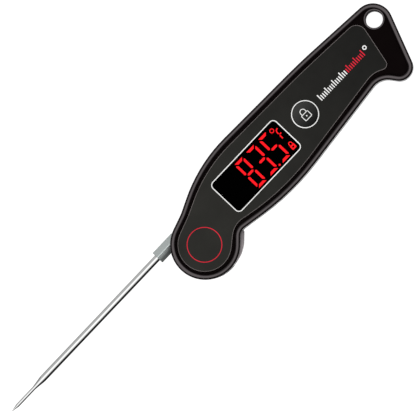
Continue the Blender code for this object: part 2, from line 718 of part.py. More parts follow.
collar, tube = probe_collar(), probe_tube()
bead, red_lead, black_lead = probe_wiring()
clip = axle_clip()
hub_magnet = cylinder("hub_magnet", *HUB_MAGNET, PARTING_Z + 0.3, PARTING_Z + 3.3)
paint(satin_alloy, collar)
paint(steel, tube, clip)
paint(brass, bead)
paint(red_insulation, red_lead)
paint(black_insulation, black_lead)
paint(magnet_nickel, hub_magnet)

bush_inside, bush_outside = AXLE_RADIUS + BUSH_WALL[0], AXLE_RADIUS + BUSH_WALL[1]
rear_bush = ring("rear_bush", bush_inside, bush_outside, *REAR_BUSH_Z)
front_bush = ring("front_bush", bush_inside, bush_outside, *FRONT_BUSH_Z)
friction_washer = ring("friction_washer", AXLE_RADIUS + 1.6, 9.5, 5.6, 5.8)
seal = axle_seal()
gasket = case_gasket()
paint(bronze, rear_bush, front_bush)
paint(steel, friction_washer)
paint(rubber, seal, gasket)

board = main_board()
controller = box("controller_chip", (32.5, 2.5, CHIP_Z[0]), (39.5, 9.5, CHIP_Z[1]))
driver = box("display_driver_chip", (45.0, 11.0, CHIP_Z[0]), (54.0, 15.0, CHIP_Z[1]))
reed_place = Matrix.Translation((28.6 * MM, 13.5 * MM, 8.9 * MM)) @ Matrix.Rotation(math.radians(90), 4, "X")
reed = turned("reed_switch", [
    (0, 9.0), (0.6, 8.7), (0.85, 8.0), (0.85, 1.0), (0.6, 0.3), (0, 0),
], reed_place, 12)
button_board = box("button_board", (74.6, 3.2, 13.5), (88.2, 23.6, 14.1))
button_switch, rear_switch = lock_switch(), unit_switch()
ribbon = button_ribbon()
paint(board_green, board, button_board)
paint(chip_black, controller, driver, button_switch, rear_switch)
paint(glass, reed)
paint(flex_amber, ribbon)

key = lock_button()
key_plunger = cylinder("lock_plunger", *BUTTON_XY, 1.3, 14.95, 15.55, 16)
rear_key = unit_button()
rear_plunger = cylinder("unit_plunger", *UNIT_XY, 1.6, 5.2, 6.9, 16)
paint(dark_panel, key)
paint(rubber, rear_key)
paint(chip_black, key_plunger, rear_plunger)

cell = battery()
positive, negative, spring = battery_contacts()
door = battery_door()
door_seal = door_gasket()
door_screw = screw("door_screw", *DOOR_SCREW_XY, 0.15, 0.95, 2.3, 1.0, 5.6)
rear_magnet = cylinder("rear_magnet", *MAGNET_XY, MAGNET_RADIUS, 0.3, 2.2, 40)
case_screws = [
    screw(f"case_screw_{i}", *xy, 1.3, 2.95, 1.9, 0.95, 13.5) for i, xy in enumerate(CASE_SCREWS, 1)
]
board_screws = [
    screw(f"board_screw_{i}", *xy, 8.6, 9.8, 1.7, 0.8, 14.2) for i, xy in enumerate(BOARD_SCREWS, 1)
]
paint(cell_wrap, cell)
paint(steel, positive, negative, spring, door_screw, *case_screws, *board_screws)
paint(black_shell, door)
paint(rubber, door_seal)
paint(magnet_nickel, rear_magnet)

supply_red = wire("battery_lead_red", [
    (123.5, 12.0, 10.4), (123.5, 12.0, 13.9), (115.0, 18.0, 13.95), (112.0, 19.6, 13.95), (110.0, 19.6, 12.0),
    (69.3, 19.6, 12.0), (69.3, 16.5, 9.6), (66.0, 14.0, 9.3),
], 0.35)
supply_black = wire("battery_lead_black", [(70.0, 11.2, 10.4), (69.2, 10.0, 9.3), (66.0, 5.0, 9.3)], 0.35)
sensor_leads = [
    wire(name, [(0.0, 0.45 * side, 15.45), (0.0, 0.45 * side, 15.95), (3.0, 1.2 * side, 16.0),
                (23.6, 1.2 * side, 16.0), (24.05, 1.2 * side, 15.2), (24.05, 1.2 * side, 9.9),
                (24.6, 1.2 * side, 9.3), (27.0, 1.2 * side, 9.3)], 0.25)
    for name, side in (("sensor_lead_red", 1), ("sensor_lead_black", -1))
]
paint(red_insulation, supply_red, sensor_leads[0])
paint(black_insulation, supply_black, sensor_leads[1])

group("probe_pivot", (0, 0, PARTING_Z), [hub, collar, tube, bead, red_lead, black_lead, clip, hub_magnet])
group("lock_press", (*BUTTON_XY, PANEL_TOP), [key, key_plunger])
group("unit_press", (*UNIT_XY, 0), [rear_key, rear_plunger])
door_axis = group("door_hinge", (DOOR_HINGE_X, DOOR_SCREW_XY[1], 0), [door, door_seal])
screw_axis = group("door_screw_axis", (*DOOR_SCREW_XY, 0), [door_screw])
screw_axis.parent = door_axis
screw_axis.matrix_parent_inverse = door_axis.matrix_world.inverted()

for made in parts.objects:
    if made.type == "MESH" and len(made.data.polygons) > 0:
        made.data.shade_smooth()
        made.data.set_sharp_from_angle(angle=math.radians(35))
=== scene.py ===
"""Looks of the folding meat thermometer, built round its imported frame.

All shapes are in the frame of the model: +X runs from the probe's pivot to the hanging hole, +Y to the
straight edge of the handle and +Z out of the display side. Lengths here are millimetres, and MM turns
them into Blender's metres. Each visible piece stands for a node of the frame, or is a print or a lip
that lies on one.
"""

import json
import math

import bmesh
import bpy
from mathutils import Matrix, Vector


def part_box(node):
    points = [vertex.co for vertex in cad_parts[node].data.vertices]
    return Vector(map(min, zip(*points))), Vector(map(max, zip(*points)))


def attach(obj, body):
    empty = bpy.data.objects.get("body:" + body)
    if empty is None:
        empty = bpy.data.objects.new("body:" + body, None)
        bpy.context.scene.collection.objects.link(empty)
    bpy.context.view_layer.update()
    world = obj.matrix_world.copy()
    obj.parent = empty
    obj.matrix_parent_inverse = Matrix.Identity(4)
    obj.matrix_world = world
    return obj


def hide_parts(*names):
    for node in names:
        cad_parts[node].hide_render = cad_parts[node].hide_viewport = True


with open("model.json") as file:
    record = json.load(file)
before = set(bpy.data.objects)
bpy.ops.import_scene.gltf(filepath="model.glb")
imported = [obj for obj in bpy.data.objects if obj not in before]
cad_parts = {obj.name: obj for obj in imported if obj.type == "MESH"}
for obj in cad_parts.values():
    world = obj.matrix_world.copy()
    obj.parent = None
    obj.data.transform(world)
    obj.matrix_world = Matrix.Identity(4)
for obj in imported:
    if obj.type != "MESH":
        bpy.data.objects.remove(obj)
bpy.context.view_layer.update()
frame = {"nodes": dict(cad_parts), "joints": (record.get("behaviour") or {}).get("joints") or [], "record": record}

MM = 0.001
TURN = math.radians(3)      # longest step round an arc
CORNER_TURN = TURN * 4      # and round the corner of a small rectangle
WELD = 0.0005               # points closer than this become one
ROUND = 72                  # sides of a plain circle
SMALL_ROUND = 24            # of a small one
FINE_ROUND = 96             # of one that is seen from close by
RING_ROUND = 128            # of a printed ring
HUB_ROUND = 144             # of the hub and its pocket

# Outlines: belts drawn round circles (x, y, radius); a negative radius bends inwards
CASE_OUTLINE = (
    (-0.2, -0.1, 17.6), (18.6, -13.9, -5.3), (53.5, 118.8, 131.5), (115.7, -15.95, -9.1), (130.7, -9.3, 7.0),
    (137.5, 15.2, 10.0), (77.1, -374.4, 403.1), (42.8, -50.1, 79.8), (-6.5, 42.5, -24.9),
)
PANEL_OUTLINE = (
    (-0.4, 0.1, 13.5), (19.7, -15.8, -11.3), (53.2, 118.2, 126.8), (116.8, -16.0, -13.7), (125.6, -2.0, 2.8),
    (127.3, 16.8, 5.4), (76.2, -375.0, 399.6), (42.1, -50.9, 76.4), (-6.2, 42.7, -28.7),
)
BAY_OUTLINE = (
    (25.5, -3.4, 2.0), (122.0, 2.2, 2.0), (122.0, 22.5, 2.0), (77.1, -374.4, 401.1), (42.8, -50.1, 77.8),
    (14.4, 20.3, 2.0), (0.0, 0.0, -22.8),
)
SPINE_HOLE = (139.4, 16.2)
HOLE_RADIUS = 4.4
SPLIT_GAP = 0.3             # groove between the two covers
PANEL_GLUE = 0.05           # gap between the face panel and the floor of its recess


def low(node):
    """Lowest corner of a node of the frame, in millimetres."""
    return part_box(node)[0] / MM


def high(node):
    """Highest corner of a node of the frame, in millimetres."""
    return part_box(node)[1] / MM


def middle(node):
    """Middle of a node's box, in millimetres."""
    return (low(node) + high(node)) / 2


BACK = low("rear_cover").z
FRONT_BOTTOM = low("front_cover").z
REAR_TOP = FRONT_BOTTOM - SPLIT_GAP
CREST = high("front_cover").z
PANEL_TOP = high("face_panel").z
RECESS_FLOOR = low("face_panel").z - PANEL_GLUE
LENS_TOP = high("display_window").z
PROBE_Z = middle("probe_tube").z
PROBE_Y = middle("probe_tube").y
BUTTON = middle("lock_button")
UNIT = middle("unit_button")
MAGNET = middle("rear_magnet")
DOOR_LOW, DOOR_HIGH = low("battery_door"), high("battery_door")


# ---------------------------------------------------------------- shapes

def belt(circles, inset=0.0, turn=TURN):
    """Points of the closed line round the circles, moved inwards; their number doesn't depend on inset."""
    rings = [(Vector((x, y)), radius - inset) for x, y, radius in circles]
    leaving = []
    for (centre, radius), (ahead, next_radius) in zip(rings, rings[1:] + rings[:1]):
        step = ahead - centre
        leaving.append(math.atan2(step.y, step.x) - math.asin((next_radius - radius) / step.length))
    arriving = leaving[-1:] + leaving[:-1]
    points = []
    for (centre, radius), before, after, (_, _, plain) in zip(rings, arriving, leaving, circles):
        angle = (after - before + math.pi) % math.tau - math.pi
        if plain > 0 > angle:
            angle += math.tau
        count = max(6, math.ceil(abs(angle) / turn))
        for i in range(count + 1):
            heading = before + angle * i / count
            points.append((centre.x + radius * math.sin(heading), centre.y - radius * math.cos(heading)))
    return points


def circle(x, y, radius, count=ROUND):
    return [(x + radius * math.cos(math.tau * i / count), y + radius * math.sin(math.tau * i / count))
            for i in range(count)]


def corner_circles(x0, y0, x1, y1, r):
    """The four circles that a rounded rectangle is drawn round."""
    return (x0 + r, y0 + r, r), (x1 - r, y0 + r, r), (x1 - r, y1 - r, r), (x0 + r, y1 - r, r)


def rounded(x0, y0, x1, y1, radius):
    return belt(corner_circles(x0, y0, x1, y1, radius), turn=CORNER_TURN)


def arc(across, level, radius, start, end, count, rise=None):
    """Points of an arc about (across, level), from start to end in degrees; rise makes it an ellipse."""
    rise = radius if rise is None else rise
    angles = [math.radians(start + (end - start) * i / count) for i in range(count + 1)]
    return [(across + radius * math.cos(a), level + rise * math.sin(a)) for a in angles]


def new_object(name, mesh):
    made = bpy.data.objects.new(name, mesh)
    bpy.context.scene.collection.objects.link(made)
    return made


def from_bmesh(name, shape):
    mesh = bpy.data.meshes.new(name)
    bmesh.ops.recalc_face_normals(shape, faces=shape.faces)
    shape.to_mesh(mesh)
    shape.free()
    return new_object(name, mesh)


def loft(name, rings, closed=False):
    """Skin over rings of equally many points (x, y, z), capped at both ends unless it closes on itself."""
    shape = bmesh.new()
    rows = [[shape.verts.new(Vector(point) * MM) for point in ring] for ring in rings]
    for under, over in zip(rows, rows[1:] + (rows[:1] if closed else [])):
        for i in range(len(under)):
            j = (i + 1) % len(under)
            shape.faces.new((under[i], under[j], over[j], over[i]))
    if not closed:
        shape.faces.new(list(reversed(rows[0])))
        shape.faces.new(rows[-1])
    bmesh.ops.remove_doubles(shape, verts=shape.verts, dist=WELD * MM)
    return from_bmesh(name, shape)


def moulded(name, outline, section):
    """Solid whose outline is moved inwards with height: section holds (inset, height) from bottom to top."""
    return loft(name, [[(x, y, z) for x, y in belt(outline, inset)] for inset, z in section])


def prism(name, points, bottom, top):
    return loft(name, [[(x, y, z) for x, y in points] for z in (bottom, top)])


def block(name, corner, opposite):
    (x0, y0, z0), (x1, y1, z1) = corner, opposite
    return prism(name, [(x0, y0), (x1, y0), (x1, y1), (x0, y1)], z0, z1)


def turned(name, profile, centre=(0, 0), count=ROUND, closed=False):
    """Solid of revolution about an upright axis from (radius, height) points, bottom to top."""
    rings = []
    for radius, z in profile:
        rings.append([(x, y, z) for x, y in circle(*centre, max(radius, 0.0), count)])
    return loft(name, rings, closed)


def evaluated(piece):
    """Mesh of an object as its modifiers or its curve make it."""
    bpy.context.view_layer.update()
    graph = bpy.context.evaluated_depsgraph_get()
    return bpy.data.meshes.new_from_object(piece.evaluated_get(graph))


def plate(name, loops, bottom, top):
    """Flat piece with outer loops and holes, filled as a 2D curve."""
    curve = bpy.data.curves.new(name, "CURVE")
    curve.dimensions = "2D"
    curve.fill_mode = "BOTH"
    curve.extrude = (top - bottom) / 2 * MM
    for loop in loops:
        spline = curve.splines.new("POLY")
        spline.points.add(len(loop) - 1)
        spline.use_cyclic_u = True
        for point, (x, y) in zip(spline.points, loop):
            point.co = (x * MM, y * MM, 0, 1)
    drawn = new_object(name + "_curve", curve)
    mesh = evaluated(drawn)
    mesh.transform(Matrix.Translation((0, 0, (top + bottom) / 2 * MM)))
    bpy.data.objects.remove(drawn)
    shape = bmesh.new()
    shape.from_mesh(mesh)
    bmesh.ops.remove_doubles(shape, verts=shape.verts, dist=WELD * MM)
    bpy.data.meshes.remove(mesh)
    return from_bmesh(name, shape)


def merged(name, *pieces):
    """One object that holds several separate solids."""
    shape = bmesh.new()
    for piece in pieces:
        piece.data.transform(piece.matrix_world)
        shape.from_mesh(piece.data)
        bpy.data.objects.remove(piece)
    return from_bmesh(name, shape)


def carve(target, steps):
    """Applies a list of (operation, tool) Booleans and removes the tools."""
    for index, (operation, tool) in enumerate(steps):
        step = target.modifiers.new(str(index), "BOOLEAN")
        step.operation = operation
        step.object = tool
    mesh = evaluated(target)
    target.modifiers.clear()
    target.data = mesh
    for _, tool in steps:
        bpy.data.objects.remove(tool)
    return target


def cut(target, *tools):
    return carve(target, [("DIFFERENCE", tool) for tool in tools])


def laid_along_x(piece, x, y, z):
    """Turns a solid of revolution so that its axis runs along +X from x."""
    shift = Matrix.Translation((x * MM, y * MM, z * MM))
    piece.data.transform(shift @ Matrix.Rotation(math.radians(90), 4, "Y"))
    return piece


def smooth(piece, angle=32):
    """Smooth shading that keeps flat faces flat and hard edges hard."""
    piece.data.shade_smooth()
    piece.data.set_sharp_from_angle(angle=math.radians(angle))
    weighted = piece.modifiers.new("flat_faces_lead", "WEIGHTED_NORMAL")
    weighted.mode = "FACE_AREA"
    weighted.weight = 60
    weighted.keep_sharp = True
    return piece


def soften(piece, width, angle, segments):
    """Small rounds on the edges that are sharper than angle."""
    bevel = piece.modifiers.new("rounds", "BEVEL")
    bevel.width = width * MM
    bevel.segments = segments
    bevel.limit_method = "ANGLE"
    bevel.angle_limit = math.radians(angle)
    return piece


def paint(piece, material):
    """Gives a piece one finish and no other."""
    piece.data.materials.clear()
    piece.data.materials.append(materials[material])


def place(piece, body, slot, *nodes, material=None):
    """Puts a piece on its body, gives it its finish and lets it stand for nodes of the frame."""
    paint(piece, material or slot)
    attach(piece, body)
    if nodes:
        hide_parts(*nodes)
    return piece


# ---------------------------------------------------------------- finishes

NOISE_SPAN = (0.3, 0.7)      # values of a noise that are spread over a finish's whole range
ROUGH_SCALE = 3.1            # patches of roughness are this many times finer than those of colour
RIM_SPAN = (0.04, 0.22)      # grazing share of the view over which a gloss fades
COAT_ROUGHNESS = 0.12


def map_range(nodes, links, source, from_low, from_high, to_low, to_high):
    """Maps one range of an output's values to another."""
    span = nodes.new("ShaderNodeMapRange")
    span.inputs["From Min"].default_value = from_low
    span.inputs["From Max"].default_value = from_high
    span.inputs["To Min"].default_value = to_low
    span.inputs["To Max"].default_value = to_high
    links.new(source, span.inputs["Value"])
    return span.outputs["Result"]


def colour_ramp(nodes, links, source, stops):
    """Colours against an output of 0 to 1, from stops of (value, colour)."""
    ramp = nodes.new("ShaderNodeValToRGB")
    elements = ramp.color_ramp.elements
    elements.remove(elements[0])
    for i, (at, colour) in enumerate(stops):
        element = elements[0] if i == 0 else elements.new(at)
        element.position = at
        element.color = (*colour, 1)
    links.new(source, ramp.inputs["Fac"])
    return ramp.outputs["Color"]


def greys(*stops):
    """Stops of a ramp from pairs (value, brightness)."""
    return [(at, (brightness,) * 3) for at, brightness in stops]


def noise(nodes, links, scale, stretch=(1, 1, 1), detail=3.0):
    """Noise in the piece's own space; scale counts features per metre."""
    place_node = nodes.new("ShaderNodeTexCoord")
    mapping = nodes.new("ShaderNodeMapping")
    mapping.inputs["Scale"].default_value = stretch
    texture = nodes.new("ShaderNodeTexNoise")
    texture.inputs["Scale"].default_value = scale
    texture.inputs["Detail"].default_value = detail
    links.new(place_node.outputs["Object"], mapping.inputs["Vector"])
    links.new(mapping.outputs["Vector"], texture.inputs["Vector"])
    return texture.outputs["Fac"]


def finish(name, colour, roughness, metallic=0.0, specular=0.5, spread=0.06, tint=0.12, blotch=70,
           grain=3500, grain_depth=0.004, stretch=(1, 1, 1), coat=0.0, emission=None, glow=0.0,
           sheen=(1.0, 1.0, 1.0), rim=1.0):
    """Principled finish with blotches in colour and roughness and a fine grain in its surface.

    Colour varies by the share tint and roughness by spread, either way. Blotch and grain count features
    per metre, and grain_depth is in millimetres. Rim is the share of the gloss left at grazing angles.
    """
    made = bpy.data.materials.new(name)
    made.use_nodes = True
    nodes, links = made.node_tree.nodes, made.node_tree.links
    surface = nodes["Principled BSDF"]
    surface.inputs["Metallic"].default_value = metallic
    surface.inputs["Specular IOR Level"].default_value = specular
    surface.inputs["Specular Tint"].default_value = (*sheen, 1)
    surface.inputs["Coat Weight"].default_value = coat
    surface.inputs["Coat Roughness"].default_value = COAT_ROUGHNESS
    if rim < 1.0:
        facing = nodes.new("ShaderNodeLayerWeight").outputs["Facing"]
        fade = map_range(nodes, links, facing, *RIM_SPAN, specular, specular * rim)
        links.new(fade, surface.inputs["Specular IOR Level"])
    patches = noise(nodes, links, blotch)
    shade = nodes.new("ShaderNodeMix")
    shade.data_type = "RGBA"
    shade.inputs["A"].default_value = (*[c * (1 - tint) for c in colour], 1)
    shade.inputs["B"].default_value = (*[min(1.0, c * (1 + tint)) for c in colour], 1)
    links.new(map_range(nodes, links, patches, *NOISE_SPAN, 0, 1), shade.inputs["Factor"])
    links.new(shade.outputs["Result"], surface.inputs["Base Color"])
    worn = noise(nodes, links, blotch * ROUGH_SCALE, detail=5.0)
    rough = map_range(nodes, links, worn, *NOISE_SPAN, roughness - spread, roughness + spread)
    links.new(rough, surface.inputs["Roughness"])
    if grain_depth > 0:
        bump = nodes.new("ShaderNodeBump")
        bump.inputs["Distance"].default_value = grain_depth * MM
        links.new(noise(nodes, links, grain, stretch, detail=2.0), bump.inputs["Height"])
        links.new(bump.outputs["Normal"], surface.inputs["Normal"])
    if emission:
        surface.inputs["Emission Color"].default_value = (*emission, 1)
        surface.inputs["Emission Strength"].default_value = glow
    return made


def painted_ramp(name, axis, stops, low_at, high_at):
    """Multiplies a finish's colour by one that changes along an axis of the piece, between two places: painted
    shade and highlights, and the battery's print.
    """
    nodes, links = materials[name].node_tree.nodes, materials[name].node_tree.links
    base = nodes["Principled BSDF"].inputs["Base Color"]
    plain = base.links[0].from_socket
    place_node = nodes.new("ShaderNodeTexCoord")
    apart = nodes.new("ShaderNodeSeparateXYZ")
    links.new(place_node.outputs["Object"], apart.inputs["Vector"])
    share = map_range(nodes, links, apart.outputs[axis], low_at * MM, high_at * MM, 0, 1)
    tinted = nodes.new("ShaderNodeMix")
    tinted.data_type = "RGBA"
    tinted.blend_type = "MULTIPLY"
    tinted.inputs["Factor"].default_value = 1.0
    links.new(plain, tinted.inputs["A"])
    links.new(colour_ramp(nodes, links, share, stops), tinted.inputs["B"])
    links.new(tinted.outputs["Result"], base)


FINISHES = {
    "black_shell": dict(colour=(0.0048, 0.0030, 0.0034), roughness=0.15, specular=1.0, rim=0.15, spread=0.03,
                        grain_depth=0.003, sheen=(1.0, 0.90, 0.92)),
    "dark_panel": dict(colour=(0.0170, 0.0166, 0.0142), roughness=0.5, specular=0.10, grain=5200,
                       grain_depth=0.006),
    "recess_black": dict(colour=(0.0032, 0.0016, 0.0017), roughness=0.6, specular=0.02, grain_depth=0.003),
    # the hub's grey base colour, lighter than its black plastic, is painted sheen for the light on its lug
    "hub_grey": dict(colour=(0.140, 0.121, 0.126), roughness=0.2, specular=1.0, coat=0.5, grain_depth=0.002,
                     sheen=(1.0, 0.92, 0.94)),
    # the pale finish of the panel's bevelled edge is a painted highlight
    "panel_edge_highlight": dict(colour=(0.17, 0.150, 0.147), roughness=0.5, specular=0.3),
    "smoked_lens": dict(colour=(0.0002, 0.0002, 0.0002), roughness=0.07, specular=0.001, grain_depth=0.0),
    "white_print": dict(colour=(0.90, 0.90, 0.88), roughness=0.6, specular=0.1, grain=6000,
                        grain_depth=0.002),
    "red_print": dict(colour=(0.70, 0.021, 0.045), roughness=0.6, specular=0.05, grain=6000,
                      grain_depth=0.002),
    "led_red": dict(colour=(0.3, 0.0, 0.0), roughness=0.6, specular=0.1, emission=(1.0, 0.008, 0.016),
                    glow=0.86),
    "key_top": dict(colour=(0.034, 0.034, 0.032), roughness=0.42, specular=0.12, grain=5200,
                    grain_depth=0.006),
    "steel": dict(colour=(0.75, 0.755, 0.75), roughness=0.10, metallic=1.0, spread=0.03, tint=0.04,
                  grain=900, grain_depth=0.0012, stretch=(22, 1, 1)),
    "satin_alloy": dict(colour=(0.62, 0.67, 0.66), roughness=0.35, metallic=1.0, spread=0.04, tint=0.06,
                        grain=1500, grain_depth=0.004, stretch=(1, 9, 9)),
    "rubber": dict(colour=(0.018, 0.018, 0.019), roughness=0.75, specular=0.3, grain=4200,
                   grain_depth=0.02),
    "board_green": dict(colour=(0.012, 0.11, 0.035), roughness=0.42, grain_depth=0.01),
    "chip_black": dict(colour=(0.014, 0.014, 0.015), roughness=0.55, grain_depth=0.015),
    "brass": dict(colour=(0.62, 0.44, 0.16), roughness=0.3, metallic=1.0),
    "bronze": dict(colour=(0.45, 0.28, 0.13), roughness=0.42, metallic=1.0, grain_depth=0.02),
    "magnet_nickel": dict(colour=(0.60, 0.59, 0.56), roughness=0.2, metallic=1.0, grain=1200,
                          grain_depth=0.002),
    "cell_wrap": dict(colour=(0.9, 0.9, 0.9), roughness=0.3, grain_depth=0.004),
    "red_insulation": dict(colour=(0.42, 0.012, 0.012), roughness=0.5),
    "black_insulation": dict(colour=(0.012, 0.012, 0.012), roughness=0.5),
    "flex_amber": dict(colour=(0.42, 0.15, 0.02), roughness=0.38),
    "glass": dict(colour=(0.55, 0.65, 0.6), roughness=0.08),
}
SHADE_HALF = 3.4             # half the width of the collar's painted shade and highlight
LABEL_DARK, LABEL_PALE = (0.02, 0.03, 0.05), (0.45, 0.46, 0.48)

materials = {name: finish(name, **looks) for name, looks in FINISHES.items()}
# painted light: the panel is lighter towards the pivot and darker towards the hanging hole, as the light falls off
painted_ramp("dark_panel", "X", greys((0.0, 1.15), (1.0, 0.42)), 20, 125)
# painted shade and highlight: the collar's lower facet darkens towards its edge and a lighter band lies by the
# ridge, for reflections
painted_ramp("satin_alloy", "Y", greys(
    (0.0, 0.36), (0.12, 0.46), (0.20, 0.45), (0.29, 0.96), (0.34, 1.0), (0.38, 1.26), (0.53, 1.20),
    (0.60, 1.0), (1.0, 0.96),
), PROBE_Y - SHADE_HALF, PROBE_Y + SHADE_HALF)
# painted light and shade on the hub: brighter towards -Y, where the lug catches the light, darker towards the
# case's neck
painted_ramp("hub_grey", "Y", greys((0.0, 1.55), (1.0, 0.6)), -13.5, -9.0)
# painted shade across the key's top: darker towards -Y, lighter towards +Y
painted_ramp("key_top", "Y", greys((0.0, 0.05), (1.0, 1.05)), 3.5, 13.5)
painted_ramp("cell_wrap", "X", (
    (0.0, (0.25, 0.25, 0.26)), (0.04, LABEL_DARK), (0.68, LABEL_DARK), (0.69, LABEL_PALE), (0.96, LABEL_PALE),
    (0.97, (0.6, 0.6, 0.6)),
), low("battery").x, high("battery").x)

slot_names = {part["node"]: part["material_slot"] for part in frame["record"]["subparts"]}
for node, piece in frame["nodes"].items():
    paint(piece, slot_names[node])


# ---------------------------------------------------------------- the probe's slot

POCKET_RADIUS = 20.6         # round pocket in which the hub turns
POCKET_HALF = 3.8            # half the height of the hub's and the collar's pockets
SLOT_HALF = 2.2              # half the height of the probe's slot
SLOT_CLEAR = 0.45            # room beside the closed probe and its collar
SLOT_START = 10.0            # the slot's cutter starts inside the hub's pocket
SLOT_OPEN = -40.0            # and ends beyond the open side of the handle
TIP_CLEAR = 0.9              # room beyond the probe's point
TIP_STEP, TIP_STEPS = math.radians(1.0), 16
COLLAR_CLEAR = 0.6           # room beyond the collar's end
COLLAR_SLOPE = 3.0           # how far that end of the collar's pocket slopes
PROBE_RADIUS = (high("probe_tube").y - low("probe_tube").y) / 2
COLLAR_HALF = (high("probe_collar").y - low("probe_collar").y) / 2
TIP_X = low("probe_tube").x
FOLD = next(joint for joint in frame["joints"] if joint["name"] == "probe_fold")
FOLD_EXTRA = math.radians(FOLD["range_deg"][1] - 180)


def closed_line(x, beside):
    """y of a line parallel to the closed probe's axis, beside it by a distance towards the spine."""
    return x * math.tan(FOLD_EXTRA) + (beside - PROBE_Y) / math.cos(FOLD_EXTRA)


def slot_tools():
    """Cutters of the hub's pocket, the collar's pocket and the probe's slot."""
    end_radius = math.hypot(TIP_X, PROBE_Y) + TIP_CLEAR
    beside = PROBE_RADIUS + SLOT_CLEAR
    end_angle = math.asin(closed_line(end_radius, beside) / end_radius)
    sweep = [end_angle - TIP_STEP * i for i in range(TIP_STEPS)]
    tube_room = [(SLOT_START, SLOT_OPEN)]
    tube_room += [(end_radius * math.cos(a), end_radius * math.sin(a)) for a in reversed(sweep)]
    tube_room += [(SLOT_START, closed_line(SLOT_START, beside))]
    collar_x = -low("probe_collar").x + COLLAR_CLEAR
    beside = COLLAR_HALF + SLOT_CLEAR
    collar_room = [(0.0, SLOT_OPEN), (collar_x + COLLAR_SLOPE, SLOT_OPEN),
                   (collar_x, closed_line(collar_x, beside)), (0.0, closed_line(0.0, beside))]
    under, over = PROBE_Z - POCKET_HALF, PROBE_Z + POCKET_HALF
    return [
        prism("hub_pocket", circle(0, 0, POCKET_RADIUS, HUB_ROUND), under, over),
        prism("collar_pocket", collar_room, under, over),
        prism("probe_slot", tube_room, PROBE_Z - SLOT_HALF, PROBE_Z + SLOT_HALF),
    ]


# ---------------------------------------------------------------- covers

BACK_ROUND = 2.2             # radius of the edge round the back
BEAD = 1.45                  # radius of the raised bead round the front
SEAM = 0.12                  # bevel where the two covers meet
OUTSIDE, OVERHEAD = -5, 25   # ends of cutters that come out of the back or of the front
BAY_FLOOR, BAY_CEILING = 1.8, 16.4
TRAY = (71.8, 6.4, 121.8, 17.6)      # inside of the battery's tray: x and y of two corners
TRAY_WALL = 1.2
BOSS_BOTTOM = 1.0
BOSS_RADIUS, SINK_RADIUS, SHANK_HOLE = 3.0, 2.1, 1.15    # round the case screws
AXLE_BORE = 6.15
AXLE_ROOM = (13.4, 14.9)     # radius and floor of the space over the axle
DOOR_HINGE = 71.75           # x of the edge that the door swings about
DOOR_GAP = 0.3
WINDOW_CORNER = 2.0          # corner radius of the openings for the window
WINDOW_GAP, PANEL_GAP = 0.1, 0.15    # round the window, in the cover and in the panel
KEY_BORE, KEY_OPENING = 6.42, 6.45   # radii round the key, in the cover and in the panel
FLOOR_BAND = 0.15            # faces this close to the recess's floor take its finish
LIP_HEIGHT, LIP_WIDTH = 0.55, 1.0
CASE_SCREWS = [middle(f"case_screw_{i}") for i in (1, 2, 3, 4)]
DOOR_SCREW = middle("door_screw")


def drill(x, y, radius, bottom, top, mouth=0.0, mouth_z=0.0, count=48):
    """Round cutter; with a mouth it opens as a small chamfer at mouth_z towards -Z or +Z."""
    wide = radius + mouth
    if not mouth:
        profile = [(radius, bottom), (radius, top)]
    elif abs(bottom - mouth_z) < abs(top - mouth_z):
        profile = [(wide, bottom), (wide, mouth_z), (radius, mouth_z + mouth), (radius, top)]
    else:
        profile = [(radius, bottom), (radius, mouth_z - mouth), (wide, mouth_z), (wide, top)]
    return turned("drill", profile, (x, y), count)


def matt_bore(piece):
    """Gives the upright wall of the hanging hole the matt finish of the recess."""
    if "recess_black" not in [m.name for m in piece.data.materials]:
        piece.data.materials.append(materials["recess_black"])
    for face in piece.data.polygons:
        apart = math.hypot(face.center.x / MM - SPINE_HOLE[0], face.center.y / MM - SPINE_HOLE[1])
        if apart < HOLE_RADIUS + 0.1 and abs(face.normal.z) < 0.3:
            face.material_index = 1
    return piece


